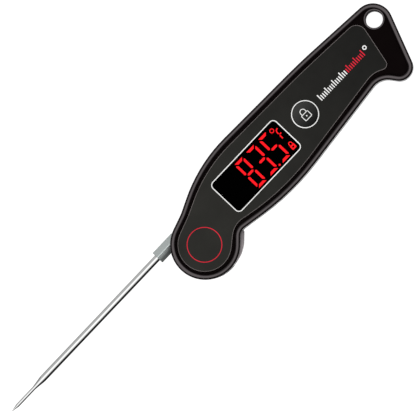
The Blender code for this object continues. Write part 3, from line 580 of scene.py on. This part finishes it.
def rear_shell():
    """Back cover with its bay, battery tray, screw bosses and bores."""
    section = [(BACK_ROUND + x, z + BACK) for x, z in arc(0, BACK_ROUND, BACK_ROUND, 270, 180, 10)]
    section += [(0.0, REAR_TOP - SEAM), (SEAM, REAR_TOP)]
    shell = moulded("rear_shell", CASE_OUTLINE, section)
    x0, y0, x1, y1 = TRAY
    boss = [(BOSS_RADIUS, BOSS_BOTTOM), (BOSS_RADIUS, REAR_TOP)]
    bosses = [turned("boss", boss, (s.x, s.y), 32) for s in CASE_SCREWS]
    magnet_boss = turned("magnet_boss", [(8.3, BOSS_BOTTOM), (8.3, 3.3)], (MAGNET.x, MAGNET.y))
    rebate = rounded(DOOR_HINGE - 0.25, DOOR_LOW.y - DOOR_GAP,
                     DOOR_HIGH.x + DOOR_GAP, DOOR_HIGH.y + DOOR_GAP, 3.0)
    wall = TRAY_WALL
    carve(shell, [
        ("DIFFERENCE", prism("bay", belt(BAY_OUTLINE), BAY_FLOOR, 20)),
        ("UNION", block("pad", (68.6, 2.8, 0.4), (126.0, 21.2, 3.6))),
        ("UNION", block("tray", (x0 - wall, y0 - wall, 1.0), (x1 + wall, y1 + wall, 13.35))),
        ("UNION", merged("bosses", *bosses, magnet_boss)),
        ("DIFFERENCE", merged(
            "door_and_tray",
            prism("rebate", rebate, OUTSIDE, 2.4),
            block("tray_inside", (x0, y0, 3.0), (x1, y1, 12.75)),
        )),
        ("DIFFERENCE", merged(
            "mouth_and_tab",
            prism("mouth", rounded(75.0, 6.6, 121.6, 17.4, 1.0), 0, 5),
            block("tab_pocket", (69.0, 7.4, 1.0), (73.0, 16.6, 2.5)),
        )),
        ("DIFFERENCE", merged(
            "round_holes",
            *[drill(s.x, s.y, SINK_RADIUS, OUTSIDE, 3.0, 0.25, BACK, 40) for s in CASE_SCREWS],
            drill(DOOR_SCREW.x, DOOR_SCREW.y, 1.6, 1, 7.2),
            drill(UNIT.x, UNIT.y, 3.3, OUTSIDE, 5, 0.35, BACK),
            drill(MAGNET.x, MAGNET.y, 7.1, OUTSIDE, 2.3, 0.3, BACK),
            drill(*SPINE_HOLE, HOLE_RADIUS, OUTSIDE, 20, 0.6, BACK, ROUND),
            drill(0, 0, AXLE_BORE, 2.2, 8),
        )),
        ("DIFFERENCE", merged(
            "shank_holes", *[drill(s.x, s.y, SHANK_HOLE, 2.5, 15, count=SMALL_ROUND) for s in CASE_SCREWS],
        )),
        *[("DIFFERENCE", tool) for tool in slot_tools()],
    ])
    matt_bore(place(smooth(shell), "case", "black_shell", "rear_cover"))


def front_shell():
    """Front cover with its bead, the recess for the panel and the openings in it."""
    bead_z = CREST - BEAD
    section = [(SEAM, FRONT_BOTTOM), (0.0, FRONT_BOTTOM + SEAM)]
    section += arc(BEAD, bead_z, BEAD, 180, 0, 20)
    section += [(2 * BEAD + 0.03, RECESS_FLOOR + 0.1), (2 * BEAD + 0.12, RECESS_FLOOR)]
    shell = moulded("front_shell", CASE_OUTLINE, section)
    near, far = low("display_window"), high("display_window")
    seat = rounded(near.x - WINDOW_GAP, near.y - WINDOW_GAP,
                   far.x + WINDOW_GAP, far.y + WINDOW_GAP, WINDOW_CORNER)
    room, room_floor = AXLE_ROOM
    pivot = [(AXLE_BORE, 10), (AXLE_BORE, room_floor), (room, room_floor), (room, BAY_CEILING)]
    carve(shell, [
        ("DIFFERENCE", prism("bay", belt(BAY_OUTLINE), 5, BAY_CEILING)),
        ("DIFFERENCE", merged(
            "front_holes",
            prism("window_seat", seat, 15, OVERHEAD),
            drill(BUTTON.x, BUTTON.y, KEY_BORE, 15, OVERHEAD, count=FINE_ROUND),
            drill(*SPINE_HOLE, HOLE_RADIUS, OUTSIDE, OVERHEAD, count=FINE_ROUND),
            turned("pivot_bore", pivot),
        )),
        *[("DIFFERENCE", tool) for tool in slot_tools()],
    ])
    place(smooth(shell), "case", "black_shell", "front_cover")
    shell.data.materials.append(materials["recess_black"])
    for face in shell.data.polygons:
        if (RECESS_FLOOR - FLOOR_BAND) * MM < face.center.z < (RECESS_FLOOR + FLOOR_BAND) * MM:
            face.material_index = 1
    matt_bore(shell)


def hole_lip():
    """Raised round edge of the hanging hole in the recess."""
    inner, outer = HOLE_RADIUS - 0.02, HOLE_RADIUS + LIP_WIDTH
    root, shoulder = RECESS_FLOOR - 0.4, RECESS_FLOOR + LIP_HEIGHT - 0.25
    profile = [(inner, root), (inner, shoulder)]
    profile += arc(HOLE_RADIUS + 0.45, shoulder, 0.45, 165, 0, 11, rise=0.25)
    profile += [(outer, RECESS_FLOOR + 0.02), (outer, root)]
    lip = turned("hole_lip", profile, SPINE_HOLE, FINE_ROUND, closed=True)
    matt_bore(place(smooth(lip), "case", "black_shell"))


# ---------------------------------------------------------------- display side

PANEL_EDGE = 0.3             # width of the panel's bevelled edge, painted pale as a highlight
INK_UNDER, INK_OVER = 0.01, 0.02     # how far a print reaches under and over its surface
LENS_CORNER, LENS_EDGE = 1.9, 0.12
FRAME_GAP, FRAME_LINE = 0.19, 0.50   # white line round the window: its distance and its width
DIGIT_BOTTOM, DIGIT_MIDDLE, DIGIT_TOP = -0.2, 8.2, 16.7
DIGIT_CENTRES = (41.55, 49.95, 58.75)
COLUMN = 2.43                # half the distance between the upright segments
BAR = 2.7                    # half the length of the top and bottom segments
STROKE = 0.62                # half the width of a segment
LIT = {"8": "abcdefg", "3": "abcdg", "5": "acdfg"}
DEGREE = (63.9, 14.85)
MARKS, PALE_MARKS = 25, 15           # marks of the scale and how many of them are pale
FIRST_MARK, LAST_MARK = 92.3, 123.2
MARK_FOOT, MARK_HALF = 7.0, 0.29
LONG_MARK, SHORT_MARK, LONG_EVERY = 3.7, 2.5, 4
KEY_FLANGE, KEY_ROUND = 0.8, 0.35    # width of the key's flange and radius of its upper edge
DISH, DISH_STEPS = 0.16, 12          # depth of the hollow in the key's top


def panel():
    """Face panel with its bevelled edge, painted pale as a highlight, and its two openings."""
    x0, y0 = low("display_window").xy - Vector((PANEL_GAP, PANEL_GAP))
    x1, y1 = high("display_window").xy + Vector((PANEL_GAP, PANEL_GAP))
    sheet = moulded("face_panel_sheet", PANEL_OUTLINE, [
        (0.0, RECESS_FLOOR + PANEL_GLUE), (0.0, PANEL_TOP - PANEL_EDGE),
        (PANEL_EDGE * 0.4, PANEL_TOP - PANEL_EDGE * 0.35), (PANEL_EDGE, PANEL_TOP)])
    cut(sheet, merged("openings", prism("window", rounded(x0, y0, x1, y1, WINDOW_CORNER), 10, OVERHEAD),
                      drill(BUTTON.x, BUTTON.y, KEY_OPENING, 10, OVERHEAD, count=FINE_ROUND)))
    place(smooth(sheet, 20), "case", "dark_panel", "face_panel")
    # the bevel's faces take the pale finish: a painted highlight along the panel's edge
    sheet.data.materials.append(materials["panel_edge_highlight"])
    for face in sheet.data.polygons:
        if 0.15 < face.normal.z < 0.97:
            face.material_index = 1


def printed(name, loops, material, slot="dark_panel", level=PANEL_TOP):
    """Thin ink on the panel, or with another slot and level on another surface."""
    place(plate(name, loops, level - INK_UNDER, level + INK_OVER), "case", slot, material=material)


def lit(name, *loops):
    """Glowing shape on the display's window."""
    printed(name, loops, "led_red", "smoked_lens", LENS_TOP)


def display():
    """The window and the white line printed round it."""
    x0, y0 = low("display_window").xy
    x1, y1 = high("display_window").xy
    lens = moulded("lens", corner_circles(x0, y0, x1, y1, LENS_CORNER),
                   [(0.0, low("display_window").z), (0.0, LENS_TOP - LENS_EDGE), (LENS_EDGE, LENS_TOP)])
    place(smooth(lens), "case", "smoked_lens", "display_window")
    gap, line = FRAME_GAP, FRAME_LINE
    inner = rounded(x0 - gap, y0 - gap, x1 + gap, y1 + gap, 2.0)
    outer = rounded(x0 - gap - line, y0 - gap - line, x1 + gap + line, y1 + gap + line, 2.6)
    printed("window_frame_print", [outer, inner], "white_print")


def segments(x):
    """The seven segments of a digit centred on x, each as a closed polygon."""
    def bar(level, inward):
        near = 2 * STROKE + 0.1
        inner = level + inward * near
        return [(x - BAR, level), (x - BAR + near, inner), (x + BAR - near, inner), (x + BAR, level)]

    def upright(side, bottom, top):
        """Upright segment on one side, above or below the middle of the digit."""
        c = x + side * COLUMN
        out, inn, tip = c + side * STROKE, c - side * STROKE, c + side * 0.3
        if top > DIGIT_MIDDLE + 1:
            return [(out, bottom + 0.45), (c, bottom), (inn, bottom + 0.6), (inn, top - 0.7),
                    (tip, top + 0.2), (out, top)]
        return [(out, bottom), (tip, bottom - 0.2), (inn, bottom + 0.7), (inn, top - 0.6), (c, top),
                (out, top - 0.45)]

    m = DIGIT_MIDDLE
    return {
        "a": bar(DIGIT_TOP, -1),
        "d": bar(DIGIT_BOTTOM, 1),
        "g": [(x - 2.05, m), (x - 1.35, m + STROKE), (x + 1.35, m + STROKE), (x + 2.05, m),
              (x + 1.35, m - STROKE), (x - 1.35, m - STROKE)],
        "b": upright(1, m + 0.75, DIGIT_TOP - 1.35),
        "f": upright(-1, m + 0.75, DIGIT_TOP - 1.35),
        "c": upright(1, DIGIT_BOTTOM + 1.35, m - 0.75),
        "e": upright(-1, DIGIT_BOTTOM + 1.35, m - 0.75),
    }


def stroke(points, width):
    """Closed outline of a line of even width through points, with square ends."""
    left, right = [], []
    for i, point in enumerate(points):
        ahead = Vector(points[min(i + 1, len(points) - 1)]) - Vector(points[max(i - 1, 0)])
        side = Vector((-ahead.y, ahead.x)).normalized() * width / 2
        left.append(tuple(Vector(point) + side))
        right.append(tuple(Vector(point) - side))
    return left + right[::-1]


def readout():
    """Lit temperature, its point, the unit mark and the lock mark."""
    for digit, x in zip("835", DIGIT_CENTRES):
        shapes = segments(x)
        for key in LIT[digit]:
            lit(f"led_{digit}_{key}", shapes[key])
    lit("led_point", circle(54.35, 0.35, 0.55, SMALL_ROUND))
    lit("led_degree", circle(*DEGREE, 1.2, 40), circle(*DEGREE, 0.78, 40))
    lit("led_unit_stem", stroke([(66.8, 13.8), (65.6, 13.4), (65.2, 12.5), (65.15, 11.3)], 0.62))
    lit("led_unit_bar", stroke([(65.3, 10.85), (66.5, 10.85)], 0.6))
    lit("led_unit_foot", stroke([(65.1, 10.4), (65.05, 8.3)], 0.62))
    lit("led_lock_body", rounded(64.3, 0.5, 67.0, 2.9, 0.3), rounded(65.0, 1.25, 66.2, 2.1, 0.2))
    arch = arc(65.65, 3.7, 0.85, 0, 180, 12, rise=0.9)
    lit("led_lock_arch", stroke([(66.5, 3.0), *arch, (64.8, 3.0)], 0.45))


def prints():
    """Ring over the pivot, ring round the key and the row of marks beside it."""
    for name, x, y, outer, inner, colour in (
        ("pivot_ring_print", -0.46, 0.1, 8.9, 8.5, "red_print"),
        ("button_ring_print", BUTTON.x, BUTTON.y, 6.99, 6.52, "white_print"),
    ):
        printed(name, [circle(x, y, outer, RING_ROUND), circle(x, y, inner, RING_ROUND)], colour)
    pitch = (LAST_MARK - FIRST_MARK) / (MARKS - 1)
    for i in range(MARKS):
        x = FIRST_MARK + pitch * i
        top = MARK_FOOT + (LONG_MARK if i % LONG_EVERY == 0 else SHORT_MARK)
        x0, x1 = x - MARK_HALF, x + MARK_HALF
        printed(f"scale_mark_{i + 1}", [[(x0, MARK_FOOT), (x1, MARK_FOOT), (x1, top), (x0, top)]],
                "white_print" if i < PALE_MARKS else "red_print")
    printed("scale_end_mark", [circle(125.8, 9.9, 1.15, 40), circle(125.8, 9.9, 0.6, 40)], "white_print")


def lock_key():
    """Round key with a flange, a rounded upper edge and a slightly hollow top."""
    radius = (high("lock_button").x - low("lock_button").x) / 2 - KEY_FLANGE
    flange, skirt, top = radius + KEY_FLANGE, low("lock_button").z, high("lock_button").z
    edge_z, rim_z = top - 0.38, top - 0.03
    profile = [(0, skirt), (flange, skirt), (flange, skirt + 0.58), (radius, skirt + 0.58), (radius, edge_z)]
    profile += arc(radius - KEY_ROUND, edge_z, KEY_ROUND, 15, 90, 5)
    profile += [(radius * (1 - i / DISH_STEPS), rim_z - DISH * math.sin(math.pi / 2 * i / DISH_STEPS) ** 2)
                for i in range(2, DISH_STEPS + 1)]
    key = turned("lock_key_cap", profile, (BUTTON.x, BUTTON.y), FINE_ROUND)
    place(smooth(key, 40), "lock_key", "dark_panel", "lock_button", material="key_top")


def key_label():
    """Padlock drawn in thin lines on the key, lying on its hollow top."""
    top = high("lock_button").z - 0.1
    x, y = BUTTON.x, BUTTON.y
    body = [rounded(x - 2.3, y - 2.9, x + 2.3, y + 0.7, 0.5),
            rounded(x - 1.92, y - 2.52, x + 1.92, y + 0.32, 0.2)]
    arch = arc(x, y + 1.55, 1.45, 0, 180, 15)
    shackle = [stroke([(x + 1.45, y + 0.6), *arch, (x - 1.45, y + 0.6)], 0.4)]
    keyhole = [circle(x, y - 1.1, 0.36, SMALL_ROUND)]
    for name, loops in (("padlock_body", body), ("padlock_shackle", shackle), ("padlock_keyhole", keyhole)):
        place(plate(name, loops, top - 0.16, top + 0.04), "lock_key", "dark_panel", material="white_print")


# ---------------------------------------------------------------- probe

HUB_RADIUS, HUB_HALF, HUB_EDGE = 17.0, 3.5, 0.3
LUG_ROOT = (0.0, 0.0, 12.0)
LUG_CORNERS = (              # distance from the pivot, angle in degrees and radius of each corner
    (17.9, -74, 8.0), (18.5, -57, 8.0), (19.1, -43, 8.0), (20.2, -28, 1.2),
)
AXLE_RADIUS = 5.0
CLIP_GROOVE = (4.1, 14.98, 15.42)    # radius, bottom and top of the groove for the axle's clip
SEAT_HALF = 3.55             # half the width of the hub's notch for the collar
WIRE_HALF = 0.9              # half the height of the passage for the wires
COLLAR_FLAT = 1.6            # half the height of the collar's sides
NEEDLE_RADIUS = 0.98
TAPER_START, TAPER_END, POINT_START = -105.4, -112.1, -124.0
TAPER_STEPS = 16
TUBE_END = -9.0              # end of the tube inside the collar and the hub
TUBE_BORE, NEEDLE_BORE = 1.3, 0.6


def hub():
    """Disc with its thumb lug, its hollow axle and the notch that holds the collar."""
    under, over = low("probe_hub").z, high("probe_hub").z
    bottom, top = PROBE_Z - HUB_HALF, PROBE_Z + HUB_HALF
    rim = [(HUB_EDGE, bottom), (0.0, bottom + HUB_EDGE), (0.0, top - HUB_EDGE), (HUB_EDGE, top)]
    disc = turned("hub_disc", [(HUB_RADIUS - inset, z) for inset, z in rim], count=HUB_ROUND)
    corners = []
    for reach, degrees, corner in LUG_CORNERS:
        angle = math.radians(degrees)
        corners.append(((reach - corner) * math.cos(angle), (reach - corner) * math.sin(angle), corner))
    lug = moulded("hub_lug", (LUG_ROOT, *corners), rim)
    groove, groove_bottom, groove_top = CLIP_GROOVE
    axle = turned("hub_axle", [
        (0, under), (AXLE_RADIUS, under), (AXLE_RADIUS, groove_bottom), (groove, groove_bottom),
        (groove, groove_top), (AXLE_RADIUS, groove_top), (AXLE_RADIUS, over), (0, over)])
    wires_under, wires_over = PROBE_Z - WIRE_HALF, PROBE_Z + WIRE_HALF
    carve(disc, [
        ("UNION", lug),
        ("UNION", axle),
        ("DIFFERENCE", block("collar_seat", (-30, PROBE_Y - SEAT_HALF, 0), (-7.9, PROBE_Y + SEAT_HALF, 30))),
        ("DIFFERENCE", turned("axle_bore", [(2.4, PROBE_Z - 1), (2.4, 30)])),
        ("DIFFERENCE", merged("magnet_seat", drill(13.2, 0, 1.6, PROBE_Z + 0.2, 30))),
        ("DIFFERENCE", block("wire_run", (-9, PROBE_Y - 1, wires_under), (1.3, PROBE_Y + 1, wires_over))),
        ("DIFFERENCE", block("wire_cross", (-1.3, 0, wires_under), (1.3, PROBE_Y + 1, wires_over))),
    ])
    place(smooth(disc), "probe", "hub_grey", "probe_hub")


def collar():
    """Six-sided collar, ridged along its upper and lower middle."""
    half, flat = COLLAR_HALF, COLLAR_FLAT
    ridge = (high("probe_collar").z - low("probe_collar").z) / 2
    corners = [(-half, -flat), (0, -ridge), (half, -flat), (half, flat), (0, ridge), (-half, flat)]
    rings = [[(x, PROBE_Y + y, PROBE_Z + z) for y, z in corners]
             for x in (low("probe_collar").x, high("probe_collar").x)]
    made = loft("collar", rings)
    bore = turned("collar_bore", [(PROBE_RADIUS + 0.06, -20), (PROBE_RADIUS + 0.06, 20)])
    cut(made, laid_along_x(bore, -15, PROBE_Y, PROBE_Z))
    soften(made, 0.14, 25, 3)
    place(smooth(made, 50), "probe", "satin_alloy", "probe_collar")


def tube():
    """Steel tube with a swaged needle and a ground point."""
    r, needle = PROBE_RADIUS, NEEDLE_RADIUS
    taper_start, taper_end, point = TAPER_START - TIP_X, TAPER_END - TIP_X, POINT_START - TIP_X
    outer = [(0.0, 0.0), (0.06, 0.04)]
    outer += [(needle * (0.08 + 0.92 * i / 6), 0.04 + (point - 0.04) * i / 6) for i in range(1, 6)]
    outer += [(needle * 0.985, point - 0.2), (needle, point + 0.25)]
    for i in range(TAPER_STEPS + 1):
        share = i / TAPER_STEPS
        ease = share * share * (3 - 2 * share)
        radius = needle + (r - needle) * (0.7 * share + 0.3 * ease)
        outer.append((radius, taper_end + (taper_start - taper_end) * share))
    end = TUBE_END - TIP_X
    outer += [(r, end), (TUBE_BORE, end), (TUBE_BORE, taper_start + 0.6), (NEEDLE_BORE, taper_end + 0.4),
              (NEEDLE_BORE, 3.6), (0.0, 3.2)]
    made = laid_along_x(turned("steel_tube", outer, count=64), TIP_X, PROBE_Y, PROBE_Z)
    place(smooth(made, 40), "probe", "steel", "probe_tube")


# ---------------------------------------------------------------- back

CASE_HEAD, DOOR_HEAD = 1.65, 0.8     # heights of the screws' heads
UNIT_ROUND = 0.35            # radius of the unit key's edge
DOOR_CORNER, DOOR_EDGE = 2.8, 0.25
GRIP_LINES, GRIP_START, GRIP_PITCH, GRIP_WIDTH = 5, 111.5, 2.2, 1.0


def cross_screw(name, centre, node, body, head_radius, shank_radius):
    """Pan-head screw with a cross recess, driven from the back."""
    bottom, tip = low(node).z, high(node).z
    head = CASE_HEAD if body == "case" else DOOR_HEAD
    profile = [(0, bottom), (head_radius * 0.55, bottom), (head_radius * 0.85, bottom + 0.1),
               (head_radius, bottom + 0.32), (head_radius, bottom + head), (shank_radius, bottom + head),
               (shank_radius, tip - 0.8), (shank_radius * 0.5, tip), (0, tip)]
    made = turned(name, profile, centre, 48)
    reach, half = head_radius * 0.6, head_radius * 0.13
    x, y = centre
    arms = [block("arm", (x - a, y - b, bottom - 1), (x + a, y + b, bottom + 0.55))
            for a, b in ((reach, half), (half, reach))]
    cut(made, *arms)
    place(smooth(made), body, "steel", node)


def magnet():
    """Round magnet with a rounded lower edge."""
    r = (high("rear_magnet").x - low("rear_magnet").x) / 2
    bottom, top = low("rear_magnet").z, high("rear_magnet").z
    profile = [(0, bottom), (r - 0.35, bottom), (r - 0.1, bottom + 0.1), (r, bottom + 0.35), (r, top),
               (0, top)]
    made = turned("magnet_disc", profile, (MAGNET.x, MAGNET.y), FINE_ROUND)
    place(smooth(made), "case", "magnet_nickel", "rear_magnet")


def unit_key():
    """Rubber key with a ring pressed into its face, a flange and a stem."""
    bottom = low("unit_button").z
    profile = [(0, bottom), (1.2, bottom + 0.02), (1.3, bottom + 0.12), (1.5, bottom + 0.12),
               (1.6, bottom + 0.02)]
    profile += arc(2.75, bottom + 0.37, UNIT_ROUND, -90, 0, 6)
    profile += [(3.1, 2.1), (4.0, 2.1), (4.0, 2.7), (1.6, 2.7), (1.6, 5.1), (0, 5.1)]
    made = turned("unit_key_cap", profile, (UNIT.x, UNIT.y), 64)
    place(smooth(made), "unit_key", "rubber", "unit_button")


def door():
    """Battery door with its grip lines, the tab at its hinge and the hole for its screw."""
    x0, y0, x1, y1 = DOOR_LOW.x, DOOR_LOW.y, DOOR_HIGH.x, DOOR_HIGH.y
    made = moulded("door_plate", corner_circles(DOOR_HINGE, y0, x1, y1, DOOR_CORNER),
                   [(DOOR_EDGE, 0.0), (0.0, DOOR_EDGE), (0.0, DOOR_HIGH.z)])
    grooves = []
    for i in range(GRIP_LINES):
        x = GRIP_START + GRIP_PITCH * i
        grooves.append(prism("groove", rounded(x, y0 + 3.2, x + GRIP_WIDTH, y1 - 3.2, 0.49), -1, 0.35))
    sink = drill(DOOR_SCREW.x, DOOR_SCREW.y, 2.6, -2, 1.0, 0.25, 0.0)
    carve(made, [
        ("UNION", block("tab", (x0, 8.0, 1.25), (DOOR_HINGE + 3.0, 16.0, DOOR_HIGH.z))),
        ("DIFFERENCE", merged("door_cuts", *grooves, sink)),
        ("DIFFERENCE", drill(DOOR_SCREW.x, DOOR_SCREW.y, 1.3, -2, 3)),
    ])
    place(smooth(made), "battery_hatch", "black_shell", "battery_door")


def cell():
    """Battery with a rolled rim at one end and its raised pole at the other."""
    start, end = low("battery"), high("battery")
    r, length, centre = (end.y - start.y) / 2, end.x - start.x, middle("battery")
    profile = [(0, 0.15), (r - 1.4, 0.15), (r - 1.2, 0), (r - 0.5, 0), (r, 0.4), (r, length - 1.5),
               (r - 0.15, length - 1.15), (r - 0.6, length - 1.0), (2.3, length - 1.0), (1.9, length - 0.9),
               (1.9, length - 0.15), (1.75, length), (0, length)]
    made = laid_along_x(turned("battery_cell", profile), start.x, centre.y, centre.z)
    place(smooth(made), "case", "cell_wrap", "battery")


# ---------------------------------------------------------------- build

rear_shell()
front_shell()
hole_lip()
panel()
display()
readout()
prints()
lock_key()
key_label()
hub()
collar()
tube()
for number, screw in enumerate(CASE_SCREWS, 1):
    cross_screw(f"cover_screw_{number}", (screw.x, screw.y), f"case_screw_{number}", "case", 1.9, 0.95)
cross_screw("hatch_screw_steel", (DOOR_SCREW.x, DOOR_SCREW.y), "door_screw", "hatch_screw", 2.3, 1.0)
magnet()
unit_key()
door()
cell()


# ---------------------------------------------------------------- stage

HANDLE_TURN = math.radians(46.48)    # the handle points up and to the right in the picture
TILT = math.radians(3.2)             # the camera leans to the right of the handle
DISTANCE = 2.5                       # of the camera from TARGET, in metres
FIELD = 0.2097                       # width of the picture on the panel's plane, in metres
SENSOR = 36
TARGET = Vector((14.03, 10.05, PANEL_TOP)) * MM
FLOOR_HALF, FLOOR_BOTTOM, FLOOR_TOP = 2500, -3.2, -0.2
PLAIN_LIGHT, GLOSSY_LIGHT = 1.3, 3.0     # the studio's strength for other rays and for glossy ones
ACROSS_STOPS = (                         # share of the glossy light against degrees across the handle
    (-180, 0.44), (-134, 0.44), (-118, 0.05), (-106, 0.0), (-57, 0.0), (-46, 0.08), (-37, 0.27), (-22, 0.38),
    (-12, 0.58), (22, 0.58), (36, 0.26), (48, 0.20), (70, 0.29), (110, 0.22), (150, 0.27), (180, 0.44),
)
ALONG_STOPS = (                          # and along it
    (-180, 1.0), (-135, 0.6), (-100, 0.12), (-75, 0.12), (-36, 1.0), (36, 1.0), (75, 0.12), (100, 0.12),
    (135, 0.6), (180, 1.0),
)

right = Vector((math.cos(HANDLE_TURN), -math.sin(HANDLE_TURN), 0))
up = Vector((math.sin(HANDLE_TURN), math.cos(HANDLE_TURN), 0))
back = Vector((0, 0, math.cos(TILT))) + right * math.sin(TILT)
side = right * math.cos(TILT) - Vector((0, 0, math.sin(TILT)))
camera = bpy.data.objects.new("camera", bpy.data.cameras.new("camera"))
camera.data.sensor_width = SENSOR
camera.data.lens = SENSOR * DISTANCE / FIELD
camera.data.clip_end = 20
turn = Matrix((side, up, back)).transposed().to_4x4()
camera.matrix_world = Matrix.Translation(TARGET + back * DISTANCE) @ turn
bpy.context.scene.collection.objects.link(camera)
bpy.context.scene.camera = camera


def floor():
    """White sheet under the object, seen from above only and kept out of its reflections."""
    sheet = block("floor", (-FLOOR_HALF, -FLOOR_HALF, FLOOR_BOTTOM), (FLOOR_HALF, FLOOR_HALF, FLOOR_TOP))
    surface = bpy.data.materials.new("floor_white")
    surface.use_nodes = True
    nodes, links = surface.node_tree.nodes, surface.node_tree.links
    shader = nodes["Principled BSDF"]
    shader.inputs["Base Color"].default_value = (0.2, 0.2, 0.2, 1)
    shader.inputs["Roughness"].default_value = 0.9
    shader.inputs["Emission Color"].default_value = (1, 1, 1, 1)
    shader.inputs["Emission Strength"].default_value = 1.0
    geometry = nodes.new("ShaderNodeNewGeometry")
    apart = nodes.new("ShaderNodeSeparateXYZ")
    below = nodes.new("ShaderNodeMath")
    below.operation = "LESS_THAN"
    below.inputs[1].default_value = 0.0
    clear = nodes.new("ShaderNodeBsdfTransparent")
    either = nodes.new("ShaderNodeMixShader")
    links.new(geometry.outputs["Incoming"], apart.inputs["Vector"])
    links.new(apart.outputs["Z"], below.inputs[0])
    links.new(below.outputs["Value"], either.inputs["Fac"])
    links.new(shader.outputs["BSDF"], either.inputs[1])
    links.new(clear.outputs["BSDF"], either.inputs[2])
    links.new(either.outputs["Shader"], nodes["Material Output"].inputs["Surface"])
    sheet.data.materials.append(surface)
    sheet.visible_glossy = False


def studio():
    """Even white light for other rays, and for glossy ones bright and dark bands across and along."""
    world = bpy.data.worlds.new("studio")
    bpy.context.scene.world = world
    world.use_nodes = True
    nodes, links = world.node_tree.nodes, world.node_tree.links
    nodes.clear()

    def math_node(operation, first, second):
        made = nodes.new("ShaderNodeMath")
        made.operation = operation
        for socket, value in zip(made.inputs, (first, second)):
            if isinstance(value, (int, float)):
                socket.default_value = value
            else:
                links.new(value, socket)
        return made.outputs["Value"]

    def bands(first, second, stops):
        """Brightness against the angle whose tangent is first over second, from stops in degrees."""
        angle = math_node("ARCTAN2", first, second)
        share = math_node("ADD", math_node("DIVIDE", angle, math.tau), 0.5)
        pairs = [((degrees + 180) / 360, brightness) for degrees, brightness in stops]
        return colour_ramp(nodes, links, share, greys(*pairs))

    coordinate = nodes.new("ShaderNodeTexCoord")
    apart = nodes.new("ShaderNodeSeparateXYZ")
    links.new(coordinate.outputs["Generated"], apart.inputs["Vector"])
    x, y, z = apart.outputs
    both = math_node("MULTIPLY", bands(y, z, ACROSS_STOPS), bands(x, z, ALONG_STOPS))
    glossy = math_node("MULTIPLY", both, GLOSSY_LIGHT)
    path = nodes.new("ShaderNodeLightPath")
    chosen = nodes.new("ShaderNodeMix")
    chosen.data_type = "FLOAT"
    chosen.inputs["A"].default_value = PLAIN_LIGHT
    links.new(path.outputs["Is Glossy Ray"], chosen.inputs["Factor"])
    links.new(glossy, chosen.inputs["B"])
    background = nodes.new("ShaderNodeBackground")
    output = nodes.new("ShaderNodeOutputWorld")
    links.new(chosen.outputs["Result"], background.inputs["Strength"])
    links.new(background.outputs["Background"], output.inputs["Surface"])
    bpy.context.scene.view_settings.view_transform = "Standard"


floor()
studio()
